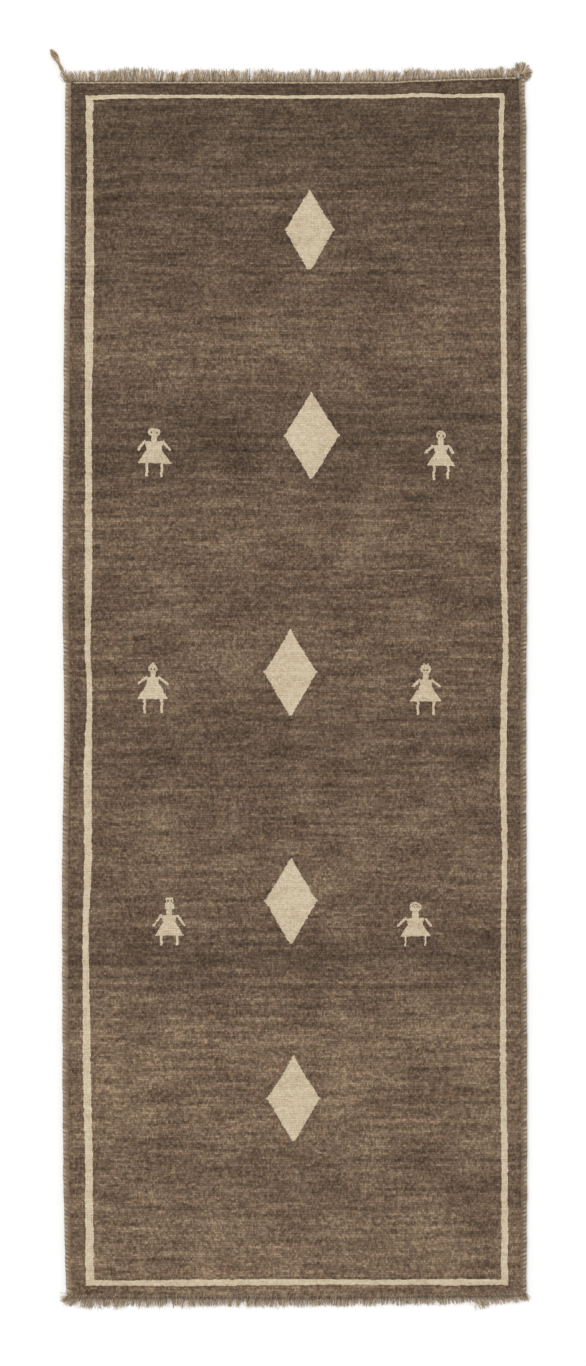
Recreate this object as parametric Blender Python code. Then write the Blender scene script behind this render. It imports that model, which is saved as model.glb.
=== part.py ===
"""A hand-knotted gabbeh runner with short fringes, lying flat on a floor.

Metres, +Z up. The origin is on the floor, under the middle of the knotted body.
+Y runs along the rug to its top end, and +X across it to its right side.
"""

import math
from collections import namedtuple

import bmesh
import bpy

# The knotted body
BODY_WIDTH = 0.800
PILE_LENGTH = 2.100
PILE_THICKNESS = 0.0120
PILE_UNEVENNESS = 0.0014
CELLS_ACROSS = 14
CELLS_ALONG = 38
FIT_GAP = 0.0003

# The overcast sides
SELVEDGE_WIDTH = 0.0130
SELVEDGE_HEIGHT = 0.0085
SELVEDGE_UNEVENNESS = 0.025
LEFT_SELVEDGE_TOP = 1.0532
RIGHT_SELVEDGE_TOP = 1.0622

# The twined row at the top end
TWINING_WIDTH = 0.0046
TWINING_HEIGHT = 0.0050
TWINING_PITCH = 0.0082
TWINING_NECK = 0.72

# The fringes
BACKING_DEPTH = 0.0022
BACKING_HEIGHT = 0.0026
LOCKS_IN_A_FRINGE = 140
LOCK_SHARE_OF_PITCH = 0.56
LOCK_BELLY = 0.0034
LOCK_CREST = 0.0024
LOCK_SLANT_STRAY = 3.0
LOCK_BEND_STRAY = 5.0
LOCK_LENGTH_STRAY = 0.10
LOCK_BELLY_STRAY = 0.08

# The corner cord, of two strands that part at an eye near its tip
CORD_RADIUS = 0.0035
CORD_LOBE = 0.0009
CORD_TURN = 0.0150
CORD_STATIONS = 10
CORD_SIDES = 10
CORD_TIP_SHARE = 0.45
EYE_SIDES = CORD_SIDES // 2 + 1
EYE_STRAND_WIDTH = 0.0044
EYE_STRAND_HEIGHT = 0.0029
EYE_HALF_SLIT = 0.0012
EYE_START = 0.60
EYE_END = 0.90

# The corner tuft, its locks' roots spread round its head from one angle to another, in degrees
TUFT_NECK = 0.0050
TUFT_NECK_HALF_WIDTH = 0.0030
TUFT_HEAD_RADIUS = 0.0042
TUFT_HEAD_HEIGHT = 0.0045
TUFT_FROM = 120.0
TUFT_TO = -38.0
TUFT_ROOT_SHARE = 0.72
TUFT_BEND = -6.0
TUFT_BELLY = 0.0036
TUFT_CREST = 0.0050

# Finishes
WOOL_ROUGHNESS = 0.95
CREASE_ANGLE = math.radians(50)

# The slow waves in the shorn pile: share of the unevenness, and radians a metre across and along it
Wave = namedtuple("Wave", "share across along start")
PILE_WAVES = (
    Wave(share=0.25, across=21.0, along=9.0, start=0.6),
    Wave(share=0.25, across=21.0, along=-9.0, start=1.4),
    Wave(share=0.30, across=47.0, along=-13.0, start=0.0),
    Wave(share=0.20, across=8.0, along=37.0, start=1.1),
)

# How far the sides bow out from straight, at places along the rug
Side = namedtuple("Side", "along left right")
SIDES = (
    Side(along=-1.048, left=-0.0030, right=0.0002),
    Side(along=-0.980, left=-0.0002, right=0.0005),
    Side(along=-0.824, left=0.0028, right=0.0014),
    Side(along=-0.668, left=0.0040, right=0.0014),
    Side(along=-0.356, left=0.0047, right=0.0003),
    Side(along=-0.043, left=0.0012, right=-0.0002),
    Side(along=0.191, left=0.0040, right=0.0012),
    Side(along=0.503, left=0.0019, right=0.0007),
    Side(along=0.816, left=-0.0005, right=-0.0010),
    Side(along=0.972, left=-0.0007, right=-0.0005),
    Side(along=1.045, left=-0.0010, right=-0.0028),
)

# How far the ends of the pile bow out from straight, at places across the rug
End = namedtuple("End", "across top bottom")
ENDS = (
    End(across=-0.400, top=-0.0011, bottom=0.0008),
    End(across=-0.160, top=-0.0009, bottom=0.0008),
    End(across=0.010, top=-0.0012, bottom=0.0013),
    End(across=0.160, top=-0.0009, bottom=0.0002),
    End(across=0.215, top=0.0018, bottom=-0.0002),
    End(across=0.300, top=0.0048, bottom=-0.0012),
    End(across=0.400, top=0.0072, bottom=-0.0032),
)

# The pile's rim, from its top down to the floor: distance in from the edge, and height
Rim = namedtuple("Rim", "inset height")
PILE_RIM = (
    Rim(inset=0.0055, height=None),
    Rim(inset=0.0016, height=0.0104),
    Rim(inset=0.0, height=0.0068),
    Rim(inset=0.0, height=0.0),
)

# Section of a selvedge, from the foot of its inner wall round, as shares of its width and height
SELVEDGE_SECTION = (
    (0.00, 0.00),
    (0.84, 0.00),
    (1.00, 0.30),
    (0.96, 0.66),
    (0.72, 0.94),
    (0.38, 1.00),
    (0.10, 0.90),
    (0.00, 0.52),
)

# Section of the twined row, from the foot of its inner side round
TWINING_SECTION = (
    (0.00, 0.00),
    (1.00, 0.00),
    (0.95, 0.62),
    (0.50, 1.00),
    (0.05, 0.62),
)

# The lie of the fringes: at places across, the slant to the right in degrees, and the length
Lie = namedtuple("Lie", "across slant length")
TOP_LIE = (
    Lie(across=-0.392, slant=-6, length=0.0190),
    Lie(across=-0.330, slant=8, length=0.0200),
    Lie(across=-0.285, slant=-7, length=0.0230),
    Lie(across=-0.215, slant=12, length=0.0195),
    Lie(across=-0.130, slant=-5, length=0.0205),
    Lie(across=-0.060, slant=10, length=0.0200),
    Lie(across=0.030, slant=16, length=0.0195),
    Lie(across=0.120, slant=4, length=0.0195),
    Lie(across=0.195, slant=18, length=0.0200),
    Lie(across=0.270, slant=-6, length=0.0160),
    Lie(across=0.330, slant=12, length=0.0160),
    Lie(across=0.383, slant=4, length=0.0170),
)
BOTTOM_LIE = (
    Lie(across=-0.396, slant=-44, length=0.0170),
    Lie(across=-0.380, slant=-24, length=0.0210),
    Lie(across=-0.340, slant=-12, length=0.0210),
    Lie(across=-0.260, slant=-16, length=0.0185),
    Lie(across=-0.150, slant=3, length=0.0170),
    Lie(across=-0.060, slant=-5, length=0.0175),
    Lie(across=0.040, slant=6, length=0.0170),
    Lie(across=0.130, slant=-6, length=0.0155),
    Lie(across=0.230, slant=10, length=0.0150),
    Lie(across=0.298, slant=22, length=0.0160),
    Lie(across=0.309, slant=34, length=0.0270),
    Lie(across=0.320, slant=32, length=0.0240),
    Lie(across=0.336, slant=24, length=0.0160),
    Lie(across=0.380, slant=20, length=0.0150),
    Lie(across=0.399, slant=34, length=0.0130),
)

# The corner cord's route over the floor, from the rug's corner to the tip of its eye
CORD_ROUTE = (
    (-0.3964, 1.0582),
    (-0.4000, 1.0654),
    (-0.4038, 1.0726),
    (-0.4072, 1.0796),
    (-0.4106, 1.0868),
    (-0.4142, 1.0940),
    (-0.4178, 1.1006),
    (-0.4212, 1.1062),
    (-0.4244, 1.1110),
)

# The eye's strands: shares of the way along the eye, and of its width there
Bow = namedtuple("Bow", "along width")
EYE_BOWS = (
    Bow(along=0.30, width=0.78),
    Bow(along=0.58, width=1.00),
    Bow(along=0.82, width=0.72),
)

# How far the tuft's locks reach beyond its head, first to last
TUFT_LENGTHS = (0.0130, 0.0155, 0.0170, 0.0180, 0.0190, 0.0200, 0.0195, 0.0165, 0.0120)

# Colours: linear red, green and blue
BROWN_WOOL = (0.140, 0.100, 0.068)
RED_BROWN_WOOL = (0.185, 0.120, 0.078)
UNDYED_WOOL = (0.420, 0.340, 0.250)
GREY_WARP = (0.360, 0.290, 0.210)


def clear_scene():
    """Removes whatever the file opened with."""
    for obj in list(bpy.data.objects):
        bpy.data.objects.remove(obj, do_unlink=True)


def wool(name, colour):
    """A matt wool material."""
    material = bpy.data.materials.new(name)
    material.use_nodes = True
    shader = material.node_tree.nodes["Principled BSDF"]
    shader.inputs["Base Color"].default_value = (*colour, 1.0)
    shader.inputs["Roughness"].default_value = WOOL_ROUGHNESS
    shader.inputs["Metallic"].default_value = 0.0
    return material


def finish_object(name, bm, colour, collection, smooth=True):
    """Turns a bmesh into an object of the rug, its faces pointing outwards."""
    bmesh.ops.recalc_face_normals(bm, faces=bm.faces)
    mesh = bpy.data.meshes.new(name)
    bm.to_mesh(mesh)
    bm.free()
    if smooth:
        mesh.shade_smooth()
        mesh.set_sharp_from_angle(angle=CREASE_ANGLE)
    obj = bpy.data.objects.new(name, mesh)
    obj.data.materials.append(wool(name + "_wool", colour))
    collection.objects.link(obj)
    return obj


def eased(table, key, column, at):
    """The value of a table's column at a place between its rows, with a smooth run through the rows."""
    rows = [(getattr(row, key), getattr(row, column)) for row in table]
    if at <= rows[0][0]:
        return rows[0][1]
    for (start, first), (end, second) in zip(rows, rows[1:]):
        if at <= end:
            share = (at - start) / (end - start)
            share = share * share * (3.0 - 2.0 * share)
            return first + (second - first) * share
    return rows[-1][1]


def mix(start, end, share):
    """The value a share of the way from start to end."""
    return start + (end - start) * share


def stray(i, pace):
    """An uneven value from -1 to 1 for each of many like things, the same on each run."""
    return (math.sin(pace * i) + math.sin(math.sqrt(2.0) * pace * i + pace)) / 2


def left_edge(y):
    """X of the rug's outer left edge."""
    return -BODY_WIDTH / 2 - eased(SIDES, "along", "left", y)


def right_edge(y):
    """X of the rug's outer right edge."""
    return BODY_WIDTH / 2 + eased(SIDES, "along", "right", y)


def top_edge(x):
    """Y of the pile's top end."""
    return PILE_LENGTH / 2 + eased(ENDS, "across", "top", x)


def bottom_edge(x):
    """Y of the pile's bottom end."""
    return -PILE_LENGTH / 2 - eased(ENDS, "across", "bottom", x)


def bridge(bm, first, second):
    """Joins two rings of the same number of points with a band of faces."""
    count = len(first)
    for i in range(count):
        j = (i + 1) % count
        bm.faces.new((first[i], first[j], second[j], second[i]))


def ring_of(bm, points):
    """A ring of new points."""
    return [bm.verts.new(point) for point in points]


def loft(bm, sections):
    """A closed solid through rings of points, capped at both ends."""
    rings = [ring_of(bm, section) for section in sections]
    for first, second in zip(rings, rings[1:]):
        bridge(bm, first, second)
    bm.faces.new(rings[0])
    bm.faces.new(rings[-1])


def pile_place(u, v, inset):
    """Where a point of the body lies, u and v running from -1 to 1 across and along it."""
    y_guess = v * PILE_LENGTH / 2
    side_room = SELVEDGE_WIDTH + FIT_GAP + inset
    x = mix(left_edge(y_guess) + side_room, right_edge(y_guess) - side_room, (u + 1) / 2)
    y = mix(bottom_edge(x) + inset, top_edge(x) - inset, (v + 1) / 2)
    return x, y


def pile_side(side):
    """The points along the body's left wall (-1) or right wall (1), from its bottom end to its top end."""
    return [pile_place(side, mix(-1.0, 1.0, i / CELLS_ALONG), 0.0) for i in range(CELLS_ALONG + 1)]


def pile_end(end):
    """The points along the body's bottom wall (-1) or top wall (1), from left to right."""
    return [pile_place(mix(-1.0, 1.0, i / CELLS_ACROSS), end, 0.0) for i in range(CELLS_ACROSS + 1)]


def wall_at(wall, x):
    """Y of an end wall of the body at a place across it, level beyond the wall's two corners."""
    if x <= wall[0][0]:
        return wall[0][1]
    for (x0, y0), (x1, y1) in zip(wall, wall[1:]):
        if x <= x1:
            return mix(y0, y1, (x - x0) / (x1 - x0))
    return wall[-1][1]


def pile_top(x, y):
    """Height of the shorn pile, a little uneven as a hand-shorn one is."""
    lift = sum(wave.share * math.sin(wave.across * x + wave.along * y + wave.start) for wave in PILE_WAVES)
    return PILE_THICKNESS - PILE_UNEVENNESS * (1.0 - lift) / 2


def build_pile(collection):
    """The knotted body: flat underneath, its rim rounded over and its top a little uneven."""
    bm = bmesh.new()
    bmesh.ops.create_grid(bm, x_segments=CELLS_ACROSS, y_segments=CELLS_ALONG, size=1.0)
    place = {vert: (vert.co.x, vert.co.y) for vert in bm.verts}
    rim = [edge for edge in bm.edges if edge.is_boundary]
    for vert, (u, v) in place.items():
        x, y = pile_place(u, v, PILE_RIM[0].inset)
        vert.co = (x, y, pile_top(x, y))
    for step in PILE_RIM[1:]:
        made = bmesh.ops.extrude_edge_only(bm, edges=rim)["geom"]
        rim = [item for item in made if isinstance(item, bmesh.types.BMEdge) and item.is_boundary]
        for vert in {vert for edge in rim for vert in edge.verts}:
            above = next(
                other
                for other in (edge.other_vert(vert) for edge in vert.link_edges)
                if other in place
            )
            u, v = place[above]
            x, y = pile_place(u, v, step.inset)
            vert.co = (x, y, step.height)
        place = {
            vert: place[next(
                other
                for other in (edge.other_vert(vert) for edge in vert.link_edges)
                if other in place
            )]
            for vert in {vert for edge in rim for vert in edge.verts}
        }
    bmesh.ops.holes_fill(bm, edges=rim, sides=0)
    return finish_object("pile", bm, BROWN_WOOL, collection)


def build_selvedge(name, side, top, collection):
    """One overcast side: a flattened cord, flat where it lies and where it meets the body."""
    wall = pile_side(side)
    sections = []
    for i, (wall_x, y) in enumerate([*wall, (wall[-1][0], top)]):
        width = SELVEDGE_WIDTH * (1.0 + SELVEDGE_UNEVENNESS * stray(i, 2.1 + side))
        height = SELVEDGE_HEIGHT * (1.0 + SELVEDGE_UNEVENNESS * stray(i, 1.3))
        inner = wall_x + side * FIT_GAP
        sections.append(
            [(inner + side * across * width, y, up * height) for across, up in SELVEDGE_SECTION]
        )
    bm = bmesh.new()
    loft(bm, sections)
    return finish_object(name, bm, RED_BROWN_WOOL, collection)


def build_twining(collection):
    """The light twined row that locks the pile at the top end, a lump for each of its stitches."""
    wall = pile_end(1)
    start, end = wall[0][0], wall[-1][0]
    stitches = round((end - start) / TWINING_PITCH)
    sections = []
    for i in range(2 * stitches + 1):
        x = mix(start, end, i / (2 * stitches))
        share = 1.0 if i % 2 else TWINING_NECK
        foot = wall_at(wall, x) + FIT_GAP
        sections.append(
            [
                (x, foot + across * TWINING_WIDTH, up * TWINING_HEIGHT * share)
                for across, up in TWINING_SECTION
            ]
        )
    bm = bmesh.new()
    loft(bm, sections)
    return finish_object("end_twining", bm, UNDYED_WOOL, collection)


# A lock of yarn on a backing: the corners of its root, its heading and how far it bends, in radians,
# its length, its widest width, and its height there
Lock = namedtuple("Lock", "left right heading bend length belly crest")

# A lock's sections beyond its root: shares of its length, its widest width, its height, and of that
# width at its top
LockSection = namedtuple("LockSection", "reach width height top")
LOCK_SECTIONS = (
    LockSection(reach=0.46, width=1.00, height=1.00, top=0.56),
    LockSection(reach=1.00, width=0.36, height=0.38, top=0.60),
)


def lock_ring(bm, lock, section):
    """The four points of one section of a lock, its lower two on the floor."""
    heading = lock.heading + lock.bend * section.reach / 2
    root_x = (lock.left[0] + lock.right[0]) / 2
    root_y = (lock.left[1] + lock.right[1]) / 2
    x = root_x + math.cos(heading) * lock.length * section.reach
    y = root_y + math.sin(heading) * lock.length * section.reach
    turned = lock.heading + lock.bend * section.reach
    side_x, side_y = -math.sin(turned), math.cos(turned)
    half = lock.belly * section.width / 2
    high = lock.crest * section.height
    crown = half * section.top
    return ring_of(
        bm,
        (
            (x + side_x * half, y + side_y * half, 0.0),
            (x - side_x * half, y - side_y * half, 0.0),
            (x - side_x * crown, y - side_y * crown, high),
            (x + side_x * crown, y + side_y * crown, high),
        ),
    )


def build_comb(name, start, locks, end, back, height, colour, collection):
    """Locks on one backing. The backing's outer edge runs from start through the locks' roots to end, with
    the locks' left corners first, and back runs from end along its inner edge to start."""
    corners = [corner for lock in locks for corner in (lock.left, lock.right)]
    outline = [start, *corners, end, *back]
    bm = bmesh.new()
    low = ring_of(bm, [(x, y, 0.0) for x, y in outline])
    high = ring_of(bm, [(x, y, height) for x, y in outline])
    bm.faces.new(low)
    bm.faces.new(high)
    roots = {1 + 2 * i: lock for i, lock in enumerate(locks)}
    for i in range(len(outline)):
        j = (i + 1) % len(outline)
        if i not in roots:
            bm.faces.new((low[i], low[j], high[j], high[i]))
            continue
        ring = [low[i], low[j], high[j], high[i]]
        for section in LOCK_SECTIONS:
            further = lock_ring(bm, roots[i], section)
            bridge(bm, ring, further)
            ring = further
        bm.faces.new(ring)
    return finish_object(name, bm, colour, collection, smooth=False)


def fringe_locks(first, last, outer, lie, outward):
    """The locks of one fringe, between two places across the rug."""
    pitch = (last - first) / LOCKS_IN_A_FRINGE
    half = pitch * LOCK_SHARE_OF_PITCH / 2
    locks = []
    for i in range(LOCKS_IN_A_FRINGE):
        x = first + (i + 0.5) * pitch
        slant = math.radians(eased(lie, "across", "slant", x) + LOCK_SLANT_STRAY * stray(i, 1.9))
        locks.append(
            Lock(
                left=(x - half, outer(x - half)),
                right=(x + half, outer(x + half)),
                heading=outward * (math.pi / 2 - slant),
                bend=outward * math.radians(LOCK_BEND_STRAY * stray(i, 0.6)),
                length=eased(lie, "across", "length", x) * (1.0 + LOCK_LENGTH_STRAY * stray(i, 2.7)),
                belly=LOCK_BELLY * (1.0 + LOCK_BELLY_STRAY * stray(i, 3.3)),
                crest=LOCK_CREST,
            )
        )
    return locks


def build_fringe(name, first, last, first_lock, wall, off_wall, lie, outward, collection):
    """One fringe: its backing runs from first to last, off_wall outside a wall of the body."""

    def inner(x):
        return wall_at(wall, x) + outward * off_wall

    def outer(x):
        return inner(x) + outward * BACKING_DEPTH

    locks = fringe_locks(first_lock, last, outer, lie, outward)
    low, high = sorted((first, last))
    columns = [low, *(x for x, y in wall if low < x < high), high]
    back = [(x, inner(x)) for x in sorted(columns, reverse=outward > 0)]
    return build_comb(
        name, (first, outer(first)), locks, (last, outer(last)), back, BACKING_HEIGHT, GREY_WARP, collection
    )


def build_fringes(collection):
    """The cut warp ends at both ends of the rug."""
    top_wall = pile_end(1)
    top_left = left_edge(PILE_LENGTH / 2)
    build_fringe(
        "fringe_top", top_left, top_wall[-1][0], TOP_LIE[0].across, top_wall, TWINING_WIDTH + 2 * FIT_GAP,
        TOP_LIE, 1.0, collection,
    )
    bottom_left = left_edge(-PILE_LENGTH / 2)
    bottom_right = right_edge(-PILE_LENGTH / 2)
    # The bottom fringe runs from right to left, so that each lock's left corner comes first there too.
    build_fringe(
        "fringe_bottom", bottom_right, bottom_left, bottom_right, pile_end(-1), FIT_GAP,
        BOTTOM_LIE, -1.0, collection,
    )


def cord_frame(share):
    """A point of the cord's route a share of the way along, and the unit vector to its right."""
    place = share * (len(CORD_ROUTE) - 1)
    i = min(int(place), len(CORD_ROUTE) - 2)
    (x0, y0), (x1, y1) = CORD_ROUTE[i], CORD_ROUTE[i + 1]
    length = math.hypot(x1 - x0, y1 - y0)
    x, y = mix(x0, x1, place - i), mix(y0, y1, place - i)
    return x, y, (y1 - y0) / length, -(x1 - x0) / length


def cord_length():
    """Length of the corner cord's route."""
    return sum(math.dist(a, b) for a, b in zip(CORD_ROUTE, CORD_ROUTE[1:]))


def cord_ring(share, radius, lobe, turn):
    """The points round the cord, with two lobes for its two twisted strands."""
    x, y, right_x, right_y = cord_frame(share)
    points = []
    for i in range(CORD_SIDES):
        angle = math.pi / 2 + math.tau * i / CORD_SIDES
        reach = radius - lobe + lobe * math.cos(2.0 * (angle - turn))
        across = reach * math.cos(angle)
        points.append((x + right_x * across, y + right_y * across, CORD_RADIUS + reach * math.sin(angle)))
    return points


def eye_ring(share, side, width):
    """The points round one strand of the eye, on the left or right of the route."""
    x, y, right_x, right_y = cord_frame(share)
    points = []
    for i in range(EYE_SIDES):
        # The strand's section, as the half of the cord on that side, its flat towards the slit.
        angle = math.pi / 2 + side * math.pi * i / (EYE_SIDES - 1)
        across = width * (EYE_STRAND_WIDTH * math.cos(angle) - side * EYE_HALF_SLIT)
        up = CORD_RADIUS + EYE_STRAND_HEIGHT * math.sin(angle)
        points.append((x + right_x * across, y + right_y * across, up))
    return points


def build_corner_cord(collection):
    """The twisted cord at the top left corner: two strands, parted at an eye near the tip."""
    bm = bmesh.new()
    twist = math.pi * EYE_START * cord_length() / CORD_TURN
    rings = []
    for i in range(CORD_STATIONS + 1):
        along = i / CORD_STATIONS
        turn = twist * (1.0 - along)
        rings.append(ring_of(bm, cord_ring(EYE_START * along, CORD_RADIUS, CORD_LOBE, turn)))
    for first, second in zip(rings, rings[1:]):
        bridge(bm, first, second)
    bm.faces.new(rings[0])
    close = ring_of(bm, cord_ring(EYE_END, CORD_RADIUS, CORD_LOBE, 0.0))
    tip = ring_of(bm, cord_ring(1.0, CORD_RADIUS * CORD_TIP_SHARE, CORD_LOBE * CORD_TIP_SHARE, 0.0))
    # The left strand takes the ring's points from its top round to its bottom, the right strand the rest.
    for side in (1, -1):
        picked = [(side * i) % CORD_SIDES for i in range(EYE_SIDES)]
        strand = [[rings[-1][k] for k in picked]]
        for bow in EYE_BOWS:
            share = mix(EYE_START, EYE_END, bow.along)
            strand.append(ring_of(bm, eye_ring(share, side, bow.width)))
        strand.append([close[k] for k in picked])
        for first, second in zip(strand, strand[1:]):
            bridge(bm, first, second)
    bridge(bm, close, tip)
    bm.faces.new(tip)
    return finish_object("corner_cord", bm, GREY_WARP, collection)


def build_tuft(collection):
    """The brush of cut yarn at the top right corner, fanned from a small round head."""
    foot_y = RIGHT_SELVEDGE_TOP + FIT_GAP
    head_y = foot_y + TUFT_NECK
    head_x = right_edge(PILE_LENGTH / 2) - SELVEDGE_WIDTH / 2
    step = (TUFT_TO - TUFT_FROM) / len(TUFT_LENGTHS)
    half_root = step * TUFT_ROOT_SHARE / 2

    def rim(degrees):
        angle = math.radians(degrees)
        return head_x + TUFT_HEAD_RADIUS * math.cos(angle), head_y + TUFT_HEAD_RADIUS * math.sin(angle)

    locks = []
    for i, length in enumerate(TUFT_LENGTHS):
        middle = TUFT_FROM + (i + 0.5) * step
        locks.append(
            Lock(
                left=rim(middle - half_root),
                right=rim(middle + half_root),
                heading=math.radians(middle),
                bend=math.radians(TUFT_BEND),
                length=length,
                belly=TUFT_BELLY,
                crest=TUFT_CREST,
            )
        )
    back = [(head_x + TUFT_NECK_HALF_WIDTH, foot_y), (head_x - TUFT_NECK_HALF_WIDTH, foot_y)]
    return build_comb(
        "corner_tuft", rim(TUFT_FROM), locks, rim(TUFT_TO), back, TUFT_HEAD_HEIGHT, GREY_WARP, collection
    )


def main():
    """Builds the rug, a named object for each piece."""
    clear_scene()
    rug = bpy.data.collections.new("gabbeh_rug")
    bpy.context.scene.collection.children.link(rug)
    build_pile(rug)
    build_selvedge("selvedge_left", -1, LEFT_SELVEDGE_TOP, rug)
    build_selvedge("selvedge_right", 1, RIGHT_SELVEDGE_TOP, rug)
    build_twining(rug)
    build_fringes(rug)
    build_corner_cord(rug)
    build_tuft(rug)


main()
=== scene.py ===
"""The looks of a hand-knotted gabbeh runner, lying flat on a pale floor and seen from straight above.

Metres, +Z up, +Y along the rug to its top end and +X to its right side, as in its solids.
"""

from __future__ import annotations

import logging
import math
from collections.abc import Callable, Sequence
from dataclasses import dataclass, field
from enum import Enum
from typing import NamedTuple

import bmesh
import bpy
import numpy as np
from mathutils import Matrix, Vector


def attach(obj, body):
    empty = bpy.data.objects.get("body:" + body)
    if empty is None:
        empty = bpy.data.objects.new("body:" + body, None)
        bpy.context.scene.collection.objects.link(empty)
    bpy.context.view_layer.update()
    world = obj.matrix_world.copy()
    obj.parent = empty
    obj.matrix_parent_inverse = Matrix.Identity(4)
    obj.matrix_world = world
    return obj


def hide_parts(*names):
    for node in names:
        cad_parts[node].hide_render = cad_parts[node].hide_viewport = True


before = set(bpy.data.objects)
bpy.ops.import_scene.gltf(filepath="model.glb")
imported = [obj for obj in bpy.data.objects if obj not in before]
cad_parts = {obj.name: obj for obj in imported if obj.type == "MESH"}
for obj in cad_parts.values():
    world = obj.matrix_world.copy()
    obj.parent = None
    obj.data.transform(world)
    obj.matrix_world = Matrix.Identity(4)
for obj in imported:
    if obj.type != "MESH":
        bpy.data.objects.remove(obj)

LOG = logging.getLogger("gabbeh")
MILLIMETRE = 0.001

Point = tuple[float, float, float]
Fibre = tuple[list[Point], list[float]]


# Small helpers


def linear(hex_colour: str) -> tuple[float, float, float, float]:
    """Turns an sRGB hex value to linear red, green and blue, with an alpha of one.

    Args:
        hex_colour: Six hex digits after a hash.

    Returns:
        The four numbers a colour socket takes.
    """
    parts = [int(hex_colour[i : i + 2], 16) / 255 for i in (1, 3, 5)]
    red, green, blue = (c / 12.92 if c <= 0.04045 else ((c + 0.055) / 1.055) ** 2.4 for c in parts)
    return red, green, blue, 1.0


def add_node(
    tree: bpy.types.NodeTree, kind: str, inputs: dict | None = None, **settings: object
) -> bpy.types.Node:
    """Adds a node with its settings and links.

    Args:
        tree: The node tree it joins.
        kind: The node's type name, without "ShaderNode".
        inputs: For each socket name or number, a value or the output socket that feeds it.
        settings: The node's own settings by name.

    Returns:
        The new node.
    """
    node = tree.nodes.new("ShaderNode" + kind)
    for name, value in settings.items():
        setattr(node, name, value)
    for key, value in (inputs or {}).items():
        if isinstance(value, bpy.types.NodeSocket):
            tree.links.new(value, node.inputs[key])
        else:
            node.inputs[key].default_value = value
    return node


def ramp(
    tree: bpy.types.NodeTree, fac: bpy.types.NodeSocket, stops: Sequence[tuple[float, str]]
) -> bpy.types.NodeSocket:
    """Adds a colour ramp.

    Args:
        tree: The node tree it joins.
        fac: What it reads, from 0 to 1.
        stops: Places and their sRGB hex colours, in order.

    Returns:
        The ramp's colour.
    """
    node = add_node(tree, "ValToRGB", {"Fac": fac})
    elements = node.color_ramp.elements
    while len(elements) < len(stops):
        elements.new(0.5)
    for element, (place, colour) in zip(elements, stops):
        element.position = place
        element.color = linear(colour)
    return node.outputs["Color"]


def eased(stations: Sequence[float], values: Sequence[float], at: np.ndarray | float) -> np.ndarray:
    """The value of a short table at places between its rows, with a smooth run through the rows.

    Args:
        stations: Where the rows stand, rising.
        values: The rows' values.
        at: The places asked for.

    Returns:
        A value for each place.
    """
    stations_array = np.asarray(stations)
    values_array = np.asarray(values)
    place = np.clip(at, stations_array[0], stations_array[-1])
    row = np.clip(np.searchsorted(stations_array, place, side="right") - 1, 0, len(stations_array) - 2)
    share = (place - stations_array[row]) / (stations_array[row + 1] - stations_array[row])
    share = share * share * (3.0 - 2.0 * share)
    return values_array[row] + (values_array[row + 1] - values_array[row]) * share


def blend(place: np.ndarray, stations: Sequence[float], values: Sequence[np.ndarray]) -> np.ndarray:
    """Runs straight between stations whose values differ from point to point.

    Args:
        place: Where each point lies among the stations.
        stations: The stations, rising.
        values: For each station, its value at every point.

    Returns:
        A value for each point.
    """
    shares = np.eye(len(stations))
    return sum(value * np.interp(place, stations, share) for value, share in zip(values, shares))


def column(table: Sequence[NamedTuple], name: str) -> list[float]:
    """One named column of a short table."""
    return [getattr(row, name) for row in table]


def table_at(table: Sequence[NamedTuple], key: str, name: str, at: np.ndarray | float) -> np.ndarray:
    """A named column of a short table, read at places along its key column."""
    return eased(column(table, key), column(table, name), at)


def deselect_all() -> None:
    """Deselects every object, as an operator acts on all that is selected."""
    bpy.ops.object.select_all(action="DESELECT")


def pick(obj: bpy.types.Object) -> None:
    """Selects one object alone and makes it active."""
    deselect_all()
    obj.select_set(True)
    bpy.context.view_layer.objects.active = obj


def face_count(obj: bpy.types.Object) -> int:
    """How many triangles a mesh object has."""
    return sum(len(face.vertices) - 2 for face in obj.data.polygons)


def settle(obj: bpy.types.Object, name: str, finish: bpy.types.Material) -> bpy.types.Object:
    """Names a finished piece, gives it its finish, and makes it ride with the rug.

    Args:
        obj: The piece.
        name: Its name.
        finish: Its material.

    Returns:
        The same piece.
    """
    obj.name = name
    obj.data.name = name
    obj.data.materials.clear()
    obj.data.materials.append(finish)
    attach(obj, "root")
    LOG.info("%s: %d triangles", name, face_count(obj))
    return obj


def set_float(mesh: bpy.types.Mesh, name: str, domain: str, values: np.ndarray) -> None:
    """Stores one number for each point, face or face corner of a mesh."""
    layer = mesh.attributes.new(name, "FLOAT", domain)
    layer.data.foreach_set("value", np.ascontiguousarray(values, dtype=np.float32))


def set_uv(mesh: bpy.types.Mesh, name: str, pairs: np.ndarray) -> None:
    """Stores a UV map, a pair of numbers for each face corner of a mesh."""
    layer = mesh.uv_layers.new(name=name)
    layer.data.foreach_set("uv", np.ascontiguousarray(pairs, dtype=np.float32).ravel())


def corners_of(mesh: bpy.types.Mesh) -> np.ndarray:
    """The number of the point that each face corner of a mesh lies on."""
    corners = np.empty(len(mesh.loops), dtype=np.int64)
    mesh.loops.foreach_get("vertex_index", corners)
    return corners


def points_of(mesh: bpy.types.Mesh) -> np.ndarray:
    """The points of a mesh as rows of three numbers."""
    flat = np.empty(len(mesh.vertices) * 3, dtype=np.float64)
    mesh.vertices.foreach_get("co", flat)
    return flat.reshape(-1, 3)


def place_points(mesh: bpy.types.Mesh, points: np.ndarray) -> None:
    """Moves every point of a mesh."""
    mesh.vertices.foreach_set("co", np.ascontiguousarray(points, dtype=np.float32).ravel())
    mesh.update()


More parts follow.
